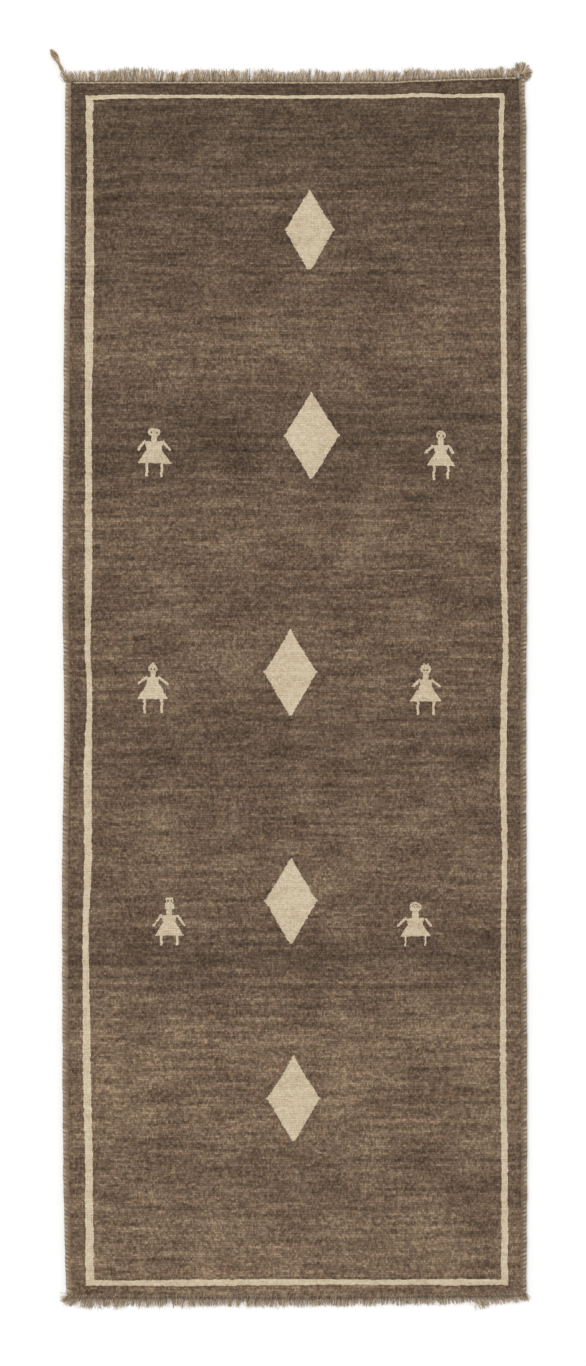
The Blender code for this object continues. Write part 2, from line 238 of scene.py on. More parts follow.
def spin_fibres(name: str, fibres: Sequence[Fibre], rounds: int, shades: np.ndarray) -> bpy.types.Object:
    """Makes one mesh of many round fibres.

    Args:
        name: The mesh's name.
        fibres: For each fibre, the points along it and its radius at each.
        rounds: How many steps each quarter of a fibre's section has, beyond the first.
        shades: For each fibre, how light it is, from 0 to 1.

    Returns:
        The mesh object, active and selected.
    """
    curve = bpy.data.curves.new(name, "CURVE")
    curve.dimensions = "3D"
    curve.bevel_depth = 1.0
    curve.bevel_resolution = rounds
    curve.use_fill_caps = True
    for points, radii in fibres:
        spline = curve.splines.new("POLY")
        spline.points.add(len(points) - 1)
        spline.points.foreach_set("co", [value for point in points for value in (*point, 1.0)])
        spline.points.foreach_set("radius", radii)
    obj = bpy.data.objects.new(name, curve)
    bpy.context.collection.objects.link(obj)
    pick(obj)
    bpy.ops.object.convert(target="MESH")
    bpy.ops.object.shade_smooth()
    obj = bpy.context.view_layer.objects.active
    rings = np.array([len(points) + 2 for points, _ in fibres])
    around = len(obj.data.vertices) // int(rings.sum())
    set_float(obj.data, "shade", "POINT", np.repeat(shades, rings * around))
    return obj


def join(objects: Sequence[bpy.types.Object]) -> bpy.types.Object:
    """Joins meshes into the first of them."""
    pick(objects[0])
    for obj in objects[1:]:
        obj.select_set(True)
    bpy.ops.object.join()
    return bpy.context.view_layer.objects.active


# Where the edges of the rug lie, as in its solids


class SideBow(NamedTuple):
    """How far the long sides bow out from straight at a place along the rug."""

    along: float
    left: float
    right: float


class EndBow(NamedTuple):
    """How far the ends of the pile bow out from straight at a place across the rug."""

    across: float
    top: float
    bottom: float


SIDE_BOWS = (
    SideBow(along=-1.048, left=-0.0030, right=0.0002),
    SideBow(along=-0.980, left=-0.0002, right=0.0005),
    SideBow(along=-0.824, left=0.0028, right=0.0014),
    SideBow(along=-0.668, left=0.0040, right=0.0014),
    SideBow(along=-0.356, left=0.0047, right=0.0003),
    SideBow(along=-0.043, left=0.0012, right=-0.0002),
    SideBow(along=0.191, left=0.0040, right=0.0012),
    SideBow(along=0.503, left=0.0019, right=0.0007),
    SideBow(along=0.816, left=-0.0005, right=-0.0010),
    SideBow(along=0.972, left=-0.0007, right=-0.0005),
    SideBow(along=1.045, left=-0.0010, right=-0.0028),
)
END_BOWS = (
    EndBow(across=-0.400, top=-0.0011, bottom=0.0008),
    EndBow(across=-0.160, top=-0.0009, bottom=0.0008),
    EndBow(across=0.010, top=-0.0012, bottom=0.0013),
    EndBow(across=0.160, top=-0.0009, bottom=0.0002),
    EndBow(across=0.215, top=0.0018, bottom=-0.0002),
    EndBow(across=0.300, top=0.0048, bottom=-0.0012),
    EndBow(across=0.400, top=0.0072, bottom=-0.0032),
)


class Hand(Enum):
    """A long side of the rug, with its direction along X."""

    LEFT = -1
    RIGHT = 1


@dataclass(frozen=True)
class RugOutline:
    """The rug's edges, with the gaps between its pieces."""

    width: float = 0.800
    length: float = 2.100
    selvedge_width: float = 0.0130
    fit_gap: float = 0.0003

    def side(self, hand: Hand, y: np.ndarray | float) -> np.ndarray:
        """X of the rug's outer edge on one side."""
        name = "left" if hand is Hand.LEFT else "right"
        return hand.value * (self.width / 2 + table_at(SIDE_BOWS, "along", name, y))

    def wall(self, hand: Hand, y: np.ndarray | float) -> np.ndarray:
        """X of the pile's wall on one side."""
        return self.side(hand, y) - hand.value * (self.selvedge_width + self.fit_gap)

    def top(self, x: np.ndarray | float) -> np.ndarray:
        """Y of the pile's top end."""
        return self.length / 2 + table_at(END_BOWS, "across", "top", x)

    def bottom(self, x: np.ndarray | float) -> np.ndarray:
        """Y of the pile's bottom end."""
        return -self.length / 2 - table_at(END_BOWS, "across", "bottom", x)


# The motifs, drawn from their own sizes


class SideLine(NamedTuple):
    """Where the cream line runs down the two sides, at a place along the rug."""

    along: float
    left_outer: float
    left_inner: float
    right_inner: float
    right_outer: float


class EndLine(NamedTuple):
    """Where the cream line runs across the two ends, at a place across the rug."""

    across: float
    top_outer: float
    top_inner: float
    bottom_inner: float
    bottom_outer: float


SIDE_LINES = (
    SideLine(along=-1.017, left_outer=-0.3637, left_inner=-0.3493, right_inner=0.3563, right_outer=0.3681),
    SideLine(along=-0.833, left_outer=-0.3644, left_inner=-0.3512, right_inner=0.3568, right_outer=0.3677),
    SideLine(along=-0.625, left_outer=-0.3684, left_inner=-0.3552, right_inner=0.3542, right_outer=0.3646),
    SideLine(along=-0.416, left_outer=-0.3688, left_inner=-0.3585, right_inner=0.3561, right_outer=0.3644),
    SideLine(along=-0.278, left_outer=-0.3660, left_inner=-0.3528, right_inner=0.3577, right_outer=0.3669),
    SideLine(along=-0.139, left_outer=-0.3669, left_inner=-0.3530, right_inner=0.3540, right_outer=0.3651),
    SideLine(along=0.000, left_outer=-0.3613, left_inner=-0.3523, right_inner=0.3556, right_outer=0.3667),
    SideLine(along=0.069, left_outer=-0.3644, left_inner=-0.3549, right_inner=0.3597, right_outer=0.3693),
    SideLine(along=0.208, left_outer=-0.3648, left_inner=-0.3523, right_inner=0.3556, right_outer=0.3663),
    SideLine(along=0.486, left_outer=-0.3644, left_inner=-0.3530, right_inner=0.3568, right_outer=0.3669),
    SideLine(along=0.625, left_outer=-0.3651, left_inner=-0.3500, right_inner=0.3556, right_outer=0.3655),
    SideLine(along=0.764, left_outer=-0.3634, left_inner=-0.3490, right_inner=0.3542, right_outer=0.3641),
    SideLine(along=0.902, left_outer=-0.3618, left_inner=-0.3507, right_inner=0.3519, right_outer=0.3592),
    SideLine(along=1.017, left_outer=-0.3632, left_inner=-0.3504, right_inner=0.3532, right_outer=0.3620),
)
END_LINES = (
    EndLine(across=-0.353, top_outer=1.0300, top_inner=1.0223, bottom_inner=-1.0216, bottom_outer=-1.0320),
    EndLine(across=-0.296, top_outer=1.0315, top_inner=1.0248, bottom_inner=-1.0232, bottom_outer=-1.0320),
    EndLine(across=-0.209, top_outer=1.0307, top_inner=1.0253, bottom_inner=-1.0215, bottom_outer=-1.0326),
    EndLine(across=0.008, top_outer=1.0303, top_inner=1.0246, bottom_inner=-1.0204, bottom_outer=-1.0305),
    EndLine(across=0.138, top_outer=1.0310, top_inner=1.0248, bottom_inner=-1.0213, bottom_outer=-1.0301),
    EndLine(across=0.225, top_outer=1.0338, top_inner=1.0272, bottom_inner=-1.0208, bottom_outer=-1.0303),
    EndLine(across=0.268, top_outer=1.0320, top_inner=1.0260, bottom_inner=-1.0204, bottom_outer=-1.0315),
    EndLine(across=0.358, top_outer=1.0336, top_inner=1.0265, bottom_inner=-1.0212, bottom_outer=-1.0308),
)


@dataclass(frozen=True)
class BorderLine:
    """The one thin cream line round the field. It keeps to its knots and rows, which wander a little.

    Its places are counted in cells of the pile's mesh, from the left and from the bottom.
    """

    left: tuple[float, float] = (6.0, 8.0)
    right: tuple[float, float] = (132.0, 134.0)
    bottom: tuple[float, float] = (6.5, 9.0)
    top: tuple[float, float] = (500.0, 501.5)

    def band(self, u: np.ndarray, v: np.ndarray) -> np.ndarray:
        """Whether cells lie on the line."""
        within = (u > self.left[0]) & (u < self.right[1]) & (v > self.bottom[0]) & (v < self.top[1])
        inside = (u > self.left[1]) & (u < self.right[0]) & (v > self.bottom[1]) & (v < self.top[0])
        return within & ~inside

    def by_the_ends(self, v: np.ndarray) -> np.ndarray:
        """Whether cells lie in the rows that the line's two ends take up."""
        low = (v > math.floor(self.bottom[0])) & (v < self.bottom[1])
        return low | ((v > self.top[0]) & (v < math.ceil(self.top[1])))


@dataclass(frozen=True)
class Lozenge:
    """A stepped lozenge, its bottom point blunter than its top."""

    x: float
    y: float
    half_width: float
    half_length: float
    fullness: float = 1.04
    top_half: float = 0.0009
    bottom_half: float = 0.0019
    tooth: float = 0.0016
    row: float = 0.0042

    def band(self, x: np.ndarray, y: np.ndarray, spare: float) -> np.ndarray:
        """Whether points lie on the lozenge, widened all round by a spare width."""
        up = y - self.y
        least = np.where(up > 0, self.top_half, self.bottom_half)
        fullness = np.where(up > 0, self.fullness, 1.0)
        share = np.clip(1.0 - np.abs(up) / self.half_length, 0.0, 1.0)
        half = least + (self.half_width - least) * share**fullness
        half = half + np.where(np.abs(up) < self.row / 2, self.tooth, 0.0)
        return (np.abs(x - self.x) < half + spare) & (np.abs(up) < self.half_length + spare)

    def edge(self, x: np.ndarray, y: np.ndarray, spare: float) -> np.ndarray:
        """Whether points lie close to the lozenge's edge."""
        return self.band(x, y, spare) & ~self.band(x, y, -spare)


LOZENGES = (
    Lozenge(x=0.0243, y=0.7974, half_width=0.0425, half_length=0.0688, bottom_half=0.0036),
    Lozenge(x=0.0278, y=0.4408, half_width=0.0475, half_length=0.0748),
    Lozenge(x=-0.0087, y=0.0312, half_width=0.0458, half_length=0.0750, fullness=1.12),
    Lozenge(x=-0.0078, y=-0.3653, half_width=0.0450, half_length=0.0742),
    Lozenge(x=-0.0035, y=-0.7072, half_width=0.0458, half_length=0.0742, fullness=1.12),
)


class Head(Enum):
    """The shape of a figure's head."""

    ROUND = "round"
    POINTED = "pointed"
    SPIKED = "spiked"
    SQUARE = "square"


@dataclass(frozen=True)
class DressedFigure:
    """A small figure in a dress, as gabbeh weavers knot them. Sizes in millimetres, from the shoulders."""

    x: float
    y: float
    head: Head
    head_width: float
    head_height: float
    neck_width: float
    neck_height: float
    bodice_width: float
    bodice_height: float
    waist_width: float
    skirt_height: float
    hem_width: float
    leg_height: float
    leg_spread: float
    left_hand: tuple[float, float]
    right_hand: tuple[float, float]
    eyes: tuple[float, float]
    leg_width: float = 4.4
    arm_width: float = 4.3
    shoulder_height: float = 3.6
    right_shoulder_gap: float = 0.0
    eye_width: float = 2.5
    eye_height: float = 3.0
    face_ring: bool = False

    def near(self, x: np.ndarray, y: np.ndarray, spare: float) -> np.ndarray:
        """Whether points lie in the rectangle that the figure fills, widened by a spare width."""
        high = (self.neck_height + self.head_height + 2.0) * MILLIMETRE + spare
        low = (self.bodice_height + self.skirt_height + self.leg_height + 1.0) * MILLIMETRE + spare
        half = max(self.hem_width / 2, -self.left_hand[0], self.right_hand[0]) * MILLIMETRE + spare
        return (np.abs(x - self.x) < half) & (y - self.y < high) & (self.y - y < low)

    def by_the_head(self, x: np.ndarray, y: np.ndarray) -> np.ndarray:
        """Whether points lie in the rectangle that the head fills."""
        half = (self.head_width / 2 + 1.5) * MILLIMETRE
        low = (self.neck_height - 2.0) * MILLIMETRE
        high = (self.neck_height + self.head_height + 3.0) * MILLIMETRE
        return (np.abs(x - self.x) < half) & (y - self.y > low) & (y - self.y < high)

    def _head(self, x: np.ndarray, y: np.ndarray) -> np.ndarray:
        """Whether points lie on the head, its eyes left dark."""
        middle = self.neck_height + self.head_height / 2
        half_width, half_height = self.head_width / 2, self.head_height / 2
        across, up = x / half_width, (y - middle) / half_height
        if self.head is Head.SQUARE:
            shape = (np.abs(across) < np.where(up > 0.1, 0.86, 1.0)) & (np.abs(up) < 1.0)
            shape &= ~((np.abs(up - 0.08) < 0.08) & (np.abs(across) > 0.7))
        elif self.head is Head.POINTED:
            crown = np.clip((1.0 - up) / 0.9, 0.12, 1.0)
            chin = np.clip((1.0 + up) / 0.5, 0.55, 1.0)
            shape = (np.abs(across) < crown * chin * 0.92) & (np.abs(up) < 1.0)
        else:
            shape = across**2 + np.abs(up) ** 2.2 < 1.0
        if self.head is Head.SPIKED:
            spikes = (np.abs(x + 3.2) < 1.3) | (np.abs(x - 4.0) < 1.3)
            shape |= spikes & (y > middle) & (y < middle + half_height + 2.0)
        eye_x, eye_y = self.eyes
        dark = (np.abs(np.abs(x) - eye_x) < self.eye_width / 2) & (np.abs(y - eye_y) < self.eye_height / 2)
        if self.face_ring:
            ring = np.abs(np.hypot(x / 6.2, (y - eye_y + 0.8) / 5.6) - 1.0) < 0.09
            dark |= ring & (y > middle - 1.0)
        return shape & ~dark

    def _arm(self, x: np.ndarray, y: np.ndarray, hand: tuple[float, float], gap: float) -> np.ndarray:
        """Whether points lie on an arm, from just outside the shoulder to the hand."""
        side = math.copysign(1.0, hand[0])
        start_x = side * (self.bodice_width / 2 + 1.5 + gap)
        start_y = -1.4 - 0.9 * gap
        run_x, run_y = hand[0] - start_x, -hand[1] - start_y
        length = math.hypot(run_x, run_y)
        along = np.clip(((x - start_x) * run_x + (y - start_y) * run_y) / length**2, 0.0, 1.0)
        off = np.hypot(x - start_x - along * run_x, y - start_y - along * run_y)
        return off < self.arm_width / 2

    def cream(self, x: np.ndarray, y: np.ndarray) -> np.ndarray:
        """Whether points lie on the figure."""
        x = (x - self.x) / MILLIMETRE
        y = (y - self.y) / MILLIMETRE
        waist_y = -self.bodice_height
        hem_y = waist_y - self.skirt_height
        shape = self._head(x, y)
        shape |= (np.abs(x) < self.neck_width / 2) & (y > -1.0) & (y < self.neck_height + 2.0)
        down = np.clip(-y / self.bodice_height, 0.0, 1.0)
        bodice = self.bodice_width / 2 + (self.waist_width - self.bodice_width) / 2 * down**2
        shape |= (np.abs(x) < bodice) & (y <= 0.0) & (y > waist_y - 1.0)
        down = np.clip((waist_y - y) / self.skirt_height, 0.0, 1.0)
        skirt = self.waist_width / 2 + (self.hem_width - self.waist_width) / 2 * down**1.08
        shape |= (np.abs(x) < skirt) & (y <= waist_y) & (y > hem_y)
        shape |= (np.abs(np.abs(x) - self.leg_spread / 2) < self.leg_width / 2) & (
            (y <= hem_y + 1.0) & (y > hem_y - self.leg_height)
        )
        shoulders = (y <= 0.0) & (y > -self.shoulder_height) & (np.abs(x) < self.bodice_width / 2 + 2.5)
        shape |= shoulders & ((x < 0.0) | (x < self.bodice_width / 2 + 2.5 - 3.0 * self.right_shoulder_gap))
        shape |= self._arm(x, y, self.left_hand, 0.0)
        shape |= self._arm(x, y, self.right_hand, self.right_shoulder_gap)
        return shape


FIGURES = (
    DressedFigure(
        x=-0.2449, y=0.4316, head=Head.ROUND, head_width=21.5, head_height=15.5,
        neck_width=10.7, neck_height=7.2, bodice_width=30.0, bodice_height=15.5,
        waist_width=26.3, skirt_height=23.5, hem_width=58.0,
        leg_height=23.0, leg_spread=26.0, left_hand=(-27.0, 15.0), right_hand=(27.0, 15.5), eyes=(5.2, 14.1),
    ),
    DressedFigure(
        x=0.2518, y=0.4240, head=Head.ROUND, head_width=17.3, head_height=14.5,
        neck_width=9.2, neck_height=10.4, bodice_width=24.7, bodice_height=12.3,
        waist_width=19.0, skirt_height=23.4, hem_width=50.0,
        leg_height=23.5, leg_spread=24.2, left_hand=(-25.5, 12.6), right_hand=(21.5, 13.0), eyes=(3.9, 16.0),
    ),
    DressedFigure(
        x=-0.2469, y=0.0229, head=Head.POINTED, head_width=17.5, head_height=19.5,
        neck_width=8.6, neck_height=6.3, bodice_width=19.0, bodice_height=9.0,
        waist_width=18.6, skirt_height=29.6, hem_width=54.6,
        leg_height=24.7, leg_spread=29.0, left_hand=(-24.0, 11.0), right_hand=(25.5, 12.0), eyes=(2.7, 13.4),
    ),
    DressedFigure(
        x=0.2256, y=0.0184, head=Head.SPIKED, head_width=18.2, head_height=16.4,
        neck_width=9.4, neck_height=9.5, bodice_width=19.6, bodice_height=10.7,
        waist_width=19.8, skirt_height=27.0, hem_width=54.3,
        leg_height=23.5, leg_spread=28.0, left_hand=(-21.5, 12.0), right_hand=(24.5, 11.8), eyes=(2.7, 15.5),
    ),
    DressedFigure(
        x=-0.2185, y=-0.3894, head=Head.SQUARE, head_width=15.8, head_height=19.7,
        neck_width=9.2, neck_height=9.9, bodice_width=25.5, bodice_height=12.3,
        waist_width=20.8, skirt_height=23.9, hem_width=51.5,
        leg_height=16.5, leg_spread=27.8, left_hand=(-26.5, 18.0), right_hand=(26.5, 18.0), eyes=(3.0, 24.0),
        right_shoulder_gap=0.9,
    ),
    DressedFigure(
        x=0.2076, y=-0.3945, head=Head.ROUND, head_width=20.4, head_height=17.3,
        neck_width=11.2, neck_height=9.9, bodice_width=31.3, bodice_height=10.7,
        waist_width=24.8, skirt_height=21.4, hem_width=54.0,
        leg_height=16.5, leg_spread=34.2, left_hand=(-29.5, 13.5), right_hand=(27.5, 14.0), eyes=(2.6, 18.4),
        leg_width=3.4, right_shoulder_gap=1.8, face_ring=True,
    ),
)


class Abrash(NamedTuple):
    """How light the field's crosswise band is, beside its average, at a place along the rug."""

    along: float
    level: float


ABRASH = (
    Abrash(along=-0.963, level=1.13),
    Abrash(along=-0.885, level=1.07),
    Abrash(along=-0.833, level=1.03),
    Abrash(along=-0.755, level=1.10),
    Abrash(along=-0.625, level=1.14),
    Abrash(along=-0.521, level=1.02),
    Abrash(along=-0.469, level=0.91),
    Abrash(along=-0.416, level=0.98),
    Abrash(along=-0.312, level=1.06),
    Abrash(along=-0.208, level=1.02),
    Abrash(along=-0.078, level=0.95),
    Abrash(along=0.078, level=1.04),
    Abrash(along=0.156, level=0.99),
    Abrash(along=0.260, level=1.05),
    Abrash(along=0.364, level=0.95),
    Abrash(along=0.416, level=0.89),
    Abrash(along=0.469, level=0.91),
    Abrash(along=0.573, level=1.04),
    Abrash(along=0.729, level=0.96),
    Abrash(along=0.859, level=0.92),
    Abrash(along=0.963, level=0.87),
)


# Finishes


@dataclass(frozen=True)
class WoolFinish:
    """Dry hand-spun wool: dull, with a faint halo of fibre ends."""

    roughness: float = 0.92
    sheen: float = 0.12
    sheen_roughness: float = 0.55
    specular: float = 0.15

    def start(self, name: str) -> tuple[bpy.types.Material, bpy.types.NodeTree, bpy.types.Node]:
        """A new material with this wool's gloss, its tree and its shader."""
        material = bpy.data.materials.new(name)
        material.use_nodes = True
        tree = material.node_tree
        shader = tree.nodes["Principled BSDF"]
        shader.inputs["Roughness"].default_value = self.roughness
        shader.inputs["Sheen Weight"].default_value = self.sheen
        shader.inputs["Sheen Roughness"].default_value = self.sheen_roughness
        shader.inputs["Specular IOR Level"].default_value = self.specular
        return material, tree, shader

    def finish(
        self,
        tree: bpy.types.NodeTree,
        shader: bpy.types.Node,
        colour: bpy.types.NodeSocket,
        height: bpy.types.NodeSocket,
        depth: float,
    ) -> None:
        """Links a colour and a height to the shader."""
        bump = add_node(tree, "Bump", {"Height": height, "Distance": depth, "Strength": 0.8})
        tree.links.new(colour, shader.inputs["Base Color"])
        tree.links.new(bump.outputs["Normal"], shader.inputs["Normal"])


@dataclass(frozen=True)
class KnottedWool(WoolFinish):
    """Shorn wool pile, a colour for each knot: heathered brown, with cream motifs."""

    field_stops: tuple[tuple[float, str], ...] = (
        (0.00, "#3c2d21"),
        (0.30, "#5a4838"),
        (0.52, "#6f5b49"),
        (0.74, "#85705b"),
        (1.00, "#a68f72"),
    )
    cream_stops: tuple[tuple[float, str], ...] = (
        (0.00, "#c2ae90"),
        (0.45, "#dac8a9"),
        (1.00, "#e9dcc2"),
    )
    red_wool: str = "#8a6550"
    yellow_wool: str = "#a08a64"
    stray_share: float = 0.30
    knot_weight: float = 0.40
    short_weight: float = 0.80
    long_weight: float = 0.80
    patch_weight: float = 0.60
    fibre_weight: float = 0.75
    dome_painted_shade_weight: float = 0.22
    tuft_weight: float = 0.45
    edge_gain: float = 1.20
    ragged: float = 0.55
    pile_depth: float = 0.0015

    def _streak(
        self, tree: bpy.types.NodeTree, knots: bpy.types.NodeSocket, stretch: tuple[float, float, float]
    ) -> bpy.types.NodeSocket:
        """A streak of shade along the rows, with this many streaks to a knot and to a row."""
        vector = add_node(tree, "VectorMath", {0: knots, 1: stretch}, operation="MULTIPLY").outputs["Vector"]
        noise = {"Vector": vector, "Scale": 1.0, "Detail": 2.5, "Roughness": 0.6}
        return add_node(tree, "TexNoise", noise, noise_dimensions="2D").outputs["Fac"]

    def _ragged_knots(self, tree: bpy.types.NodeTree, coords: bpy.types.NodeSocket) -> bpy.types.NodeSocket:
        """The knots' own coordinates, drawn a little this way and that as shorn yarn ends mingle."""
        knots = add_node(tree, "UVMap", uv_map="knots").outputs["UV"]
        noise = {"Vector": coords, "Scale": 620.0, "Detail": 2.0, "Roughness": 0.6}
        drift = add_node(tree, "TexNoise", noise).outputs["Color"]
        drift = add_node(
            tree, "VectorMath", {0: drift, 1: (0.5, 0.5, 0.5)}, operation="SUBTRACT"
        ).outputs["Vector"]
        spread = (2.0 * self.ragged, 2.0 * self.ragged, 0.0)
        drift = add_node(tree, "VectorMath", {0: drift, 1: spread}, operation="MULTIPLY").outputs["Vector"]
        return add_node(tree, "VectorMath", {0: knots, 1: drift}, operation="ADD").outputs["Vector"]

    def _dome(self, tree: bpy.types.NodeTree, knots: bpy.types.NodeSocket) -> bpy.types.NodeSocket:
        """How high each knot stands, from one at its middle down to the dips between knots: it drives the
        bump, and also paints shade in the dips and light on the middles.
        """
        place = add_node(tree, "VectorMath", {0: knots}, operation="FRACTION").outputs["Vector"]
        place = add_node(
            tree, "VectorMath", {0: place, 1: (0.5, 0.5, 0.0)}, operation="SUBTRACT"
        ).outputs["Vector"]
        away = add_node(tree, "VectorMath", {0: place, 1: place}, operation="DOT_PRODUCT").outputs["Value"]
        return add_node(
            tree, "MapRange", {"Value": away, "From Max": 0.42, "To Min": 1.0, "To Max": 0.0}
        ).outputs["Result"]

    def make(self) -> bpy.types.Material:
        """The material of the pile."""
        material, tree, shader = self.start("shorn_wool_pile")
        coords = add_node(tree, "TexCoord").outputs["Object"]
        knots = self._ragged_knots(tree, coords)
        cell = add_node(tree, "VectorMath", {0: knots}, operation="FLOOR").outputs["Vector"]
        knot = add_node(tree, "TexWhiteNoise", {"Vector": cell}, noise_dimensions="2D")
        dome = self._dome(tree, knots)
        tuft = add_node(tree, "Attribute", attribute_name="tuft").outputs["Fac"]
        # Hand-spun yarn changes shade every few knots, and a weaver's lot of it every few dozen.
        short = self._streak(tree, knots, (0.24, 0.90, 1.0))
        long = self._streak(tree, knots, (0.026, 0.38, 1.0))
        # Patches a hand or two wide, where one spinning of wool gives way to the next.
        patch = add_node(
            tree, "TexNoise", {"Vector": coords, "Scale": 11.0, "Detail": 3.0, "Roughness": 0.55}
        ).outputs["Fac"]
        fibre = add_node(
            tree, "TexNoise", {"Vector": coords, "Scale": 520.0, "Detail": 3.0, "Roughness": 0.75}
        ).outputs["Fac"]
        # The dome's share of the tone is painted shade in the dips between knots and painted light on their
        # middles; the other parts are the wool's own tone.
        tone = None
        for part, weight in (
            (knot.outputs["Value"], self.knot_weight),
            (short, self.short_weight),
            (long, self.long_weight),
            (patch, self.patch_weight),
            (fibre, self.fibre_weight),
            (dome, self.dome_painted_shade_weight),
        ):
            # Each part adds nothing where it is halfway, so the tone stays about its middle.
            rest = 0.5 * (1.0 - weight) if tone is None else -0.5 * weight
            share = add_node(tree, "Math", {0: part, 1: weight, 2: rest}, operation="MULTIPLY_ADD").outputs[0]
            if tone is None:
                tone = share
            else:
                tone = add_node(tree, "Math", {0: tone, 1: share}, operation="ADD").outputs[0]
        # Each tuft of the nap is a little lighter or darker than its knot at random, with painted shade at
        # its foot and painted light at its tip; the pile itself is neither.
        tone = add_node(
            tree, "Math", {0: tuft, 1: self.tuft_weight, 2: tone}, operation="MULTIPLY_ADD"
        ).outputs[0]
        brown = ramp(tree, tone, self.field_stops)
        parts = add_node(tree, "SeparateColor", {"Color": knot.outputs["Color"]})
        for channel, wool, least in (("Green", self.red_wool, 0.90), ("Blue", self.yellow_wool, 0.95)):
            chosen = add_node(
                tree, "Math", {0: parts.outputs[channel], 1: least}, operation="GREATER_THAN"
            ).outputs[0]
            share = add_node(tree, "Math", {0: chosen, 1: self.stray_share}, operation="MULTIPLY").outputs[0]
            brown = add_node(
                tree, "Mix", {"Factor": share, 6: brown, 7: linear(wool)}, data_type="RGBA"
            ).outputs[2]
        band = add_node(tree, "Attribute", attribute_name="band").outputs["Fac"]
        brown = add_node(tree, "VectorMath", {0: brown, "Scale": band}, operation="SCALE").outputs["Vector"]
        cream = ramp(tree, tone, self.cream_stops)
        motif = add_node(tree, "Attribute", attribute_name="cream").outputs["Fac"]
        # A few fibres of each wool stray over the edge of a motif into the other.
        motif = add_node(
            tree, "Math", {0: fibre, 1: self.edge_gain, 2: motif}, operation="MULTIPLY_ADD"
        ).outputs[0]
        middle = 0.5 + 0.5 * self.edge_gain
        motif = add_node(
            tree, "MapRange", {"Value": motif, "From Min": middle - 0.08, "From Max": middle + 0.08}
        ).outputs["Result"]
        colour = add_node(tree, "Mix", {"Factor": motif, 6: brown, 7: cream}, data_type="RGBA").outputs[2]
        height = add_node(tree, "Math", {0: dome, 1: fibre}, operation="ADD").outputs[0]
        self.finish(tree, shader, colour, height, self.pile_depth)
        return material


@dataclass(frozen=True)
class OvercastWool(WoolFinish):
    """Reddish-brown wool wound over the sides, every other turn given painted light at the outer edge."""

    name: str = "overcast_wool_left"
    dark: str = "#78624e"
    middle: str = "#b69c80"
    # The pale and light ends are the painted light on every other turn at the outer edge.
    pale: str = "#b39e85"
    light: str = "#e0d1b8"
    strands: float = 4.0
    turn_weight: float = 0.40
    strand_weight: float = 0.30
    fibre_weight: float = 0.55
    yarn_depth: float = 0.0011

    def _strand(
        self, tree: bpy.types.NodeTree, along: bpy.types.NodeSocket
    ) -> tuple[bpy.types.NodeSocket, bpy.types.NodeSocket]:
        """The strands side by side in each turn: a shade for each, and how round it stands."""
        count = add_node(tree, "Math", {0: along, 1: self.strands}, operation="MULTIPLY").outputs[0]
        number = add_node(tree, "Math", {0: count}, operation="FLOOR").outputs[0]
        shade = add_node(tree, "TexWhiteNoise", {"W": number}, noise_dimensions="1D").outputs["Value"]
        place = add_node(tree, "Math", {0: count, 1: 1.0}, operation="PINGPONG").outputs[0]
        rise = add_node(tree, "Math", {0: place, 1: math.pi}, operation="MULTIPLY").outputs[0]
        return shade, add_node(tree, "Math", {0: rise}, operation="SINE").outputs[0]

    def make(self) -> bpy.types.Material:
        """The material of one overcast side."""
        material, tree, shader = self.start(self.name)
        coords = add_node(tree, "TexCoord").outputs["Object"]
        turns = add_node(tree, "UVMap", uv_map="turns").outputs["UV"]
        fibre = add_node(
            tree, "TexNoise", {"Vector": coords, "Scale": 800.0, "Detail": 3.0, "Roughness": 0.65}
        ).outputs["Fac"]
        parts = add_node(tree, "SeparateXYZ", {"Vector": turns})
        # The fibres of one turn stray over its neighbour's, so no turn ends in a clean line.
        along = add_node(
            tree, "Math", {0: fibre, 1: 0.22, 2: parts.outputs["X"]}, operation="MULTIPLY_ADD"
        ).outputs[0]
        turn = add_node(tree, "Math", {0: along}, operation="FLOOR").outputs[0]
        turn_shade = add_node(tree, "TexWhiteNoise", {"W": turn}, noise_dimensions="1D")
        strand_shade, round_strand = self._strand(tree, along)
        tone = add_node(
            tree, "Math", {0: turn_shade.outputs["Value"], 1: self.turn_weight}, operation="MULTIPLY"
        ).outputs[0]
        for part, weight in ((strand_shade, self.strand_weight), (fibre, self.fibre_weight)):
            tone = add_node(tree, "Math", {0: part, 1: weight, 2: tone}, operation="MULTIPLY_ADD").outputs[0]
        inner = ramp(tree, tone, ((0.20, self.dark), (0.90, self.middle)))
        # Every other turn gets painted light at the outer edge, standing for lit turns with shade between
        # them; the rest keep the darker inner colours.
        half = add_node(tree, "Math", {0: turn, 1: 2.0}, operation="MODULO").outputs[0]
        edge = add_node(
            tree, "MapRange", {"Value": parts.outputs["Y"], "From Min": 0.32, "From Max": 0.50}
        ).outputs["Result"]
        # Some of the lit turns get only a little of the painted light, and stay nearly as dark as the rest.
        lit_turn_noise = add_node(tree, "SeparateColor", {"Color": turn_shade.outputs["Color"]}).outputs["Green"]
        painted_light_share = add_node(
            tree, "MapRange", {"Value": lit_turn_noise, "From Min": 0.0, "From Max": 0.45, "To Min": 0.25}
        ).outputs["Result"]
        bright = add_node(tree, "Math", {0: half, 1: edge}, operation="MULTIPLY").outputs[0]
        bright = add_node(tree, "Math", {0: bright, 1: painted_light_share}, operation="MULTIPLY").outputs[0]
        lit = ramp(tree, tone, ((0.10, self.pale), (0.95, self.light)))
        colour = add_node(tree, "Mix", {"Factor": bright, 6: inner, 7: lit}, data_type="RGBA").outputs[2]
        height = add_node(tree, "Math", {0: round_strand, 1: fibre}, operation="ADD").outputs[0]
        self.finish(tree, shader, colour, height, self.yarn_depth)
        return material


LEFT_WOOL = OvercastWool()
RIGHT_WOOL = OvercastWool(
    name="overcast_wool_right", dark="#665240", middle="#a88f73", pale="#a68f75", light="#e8d9be"
)


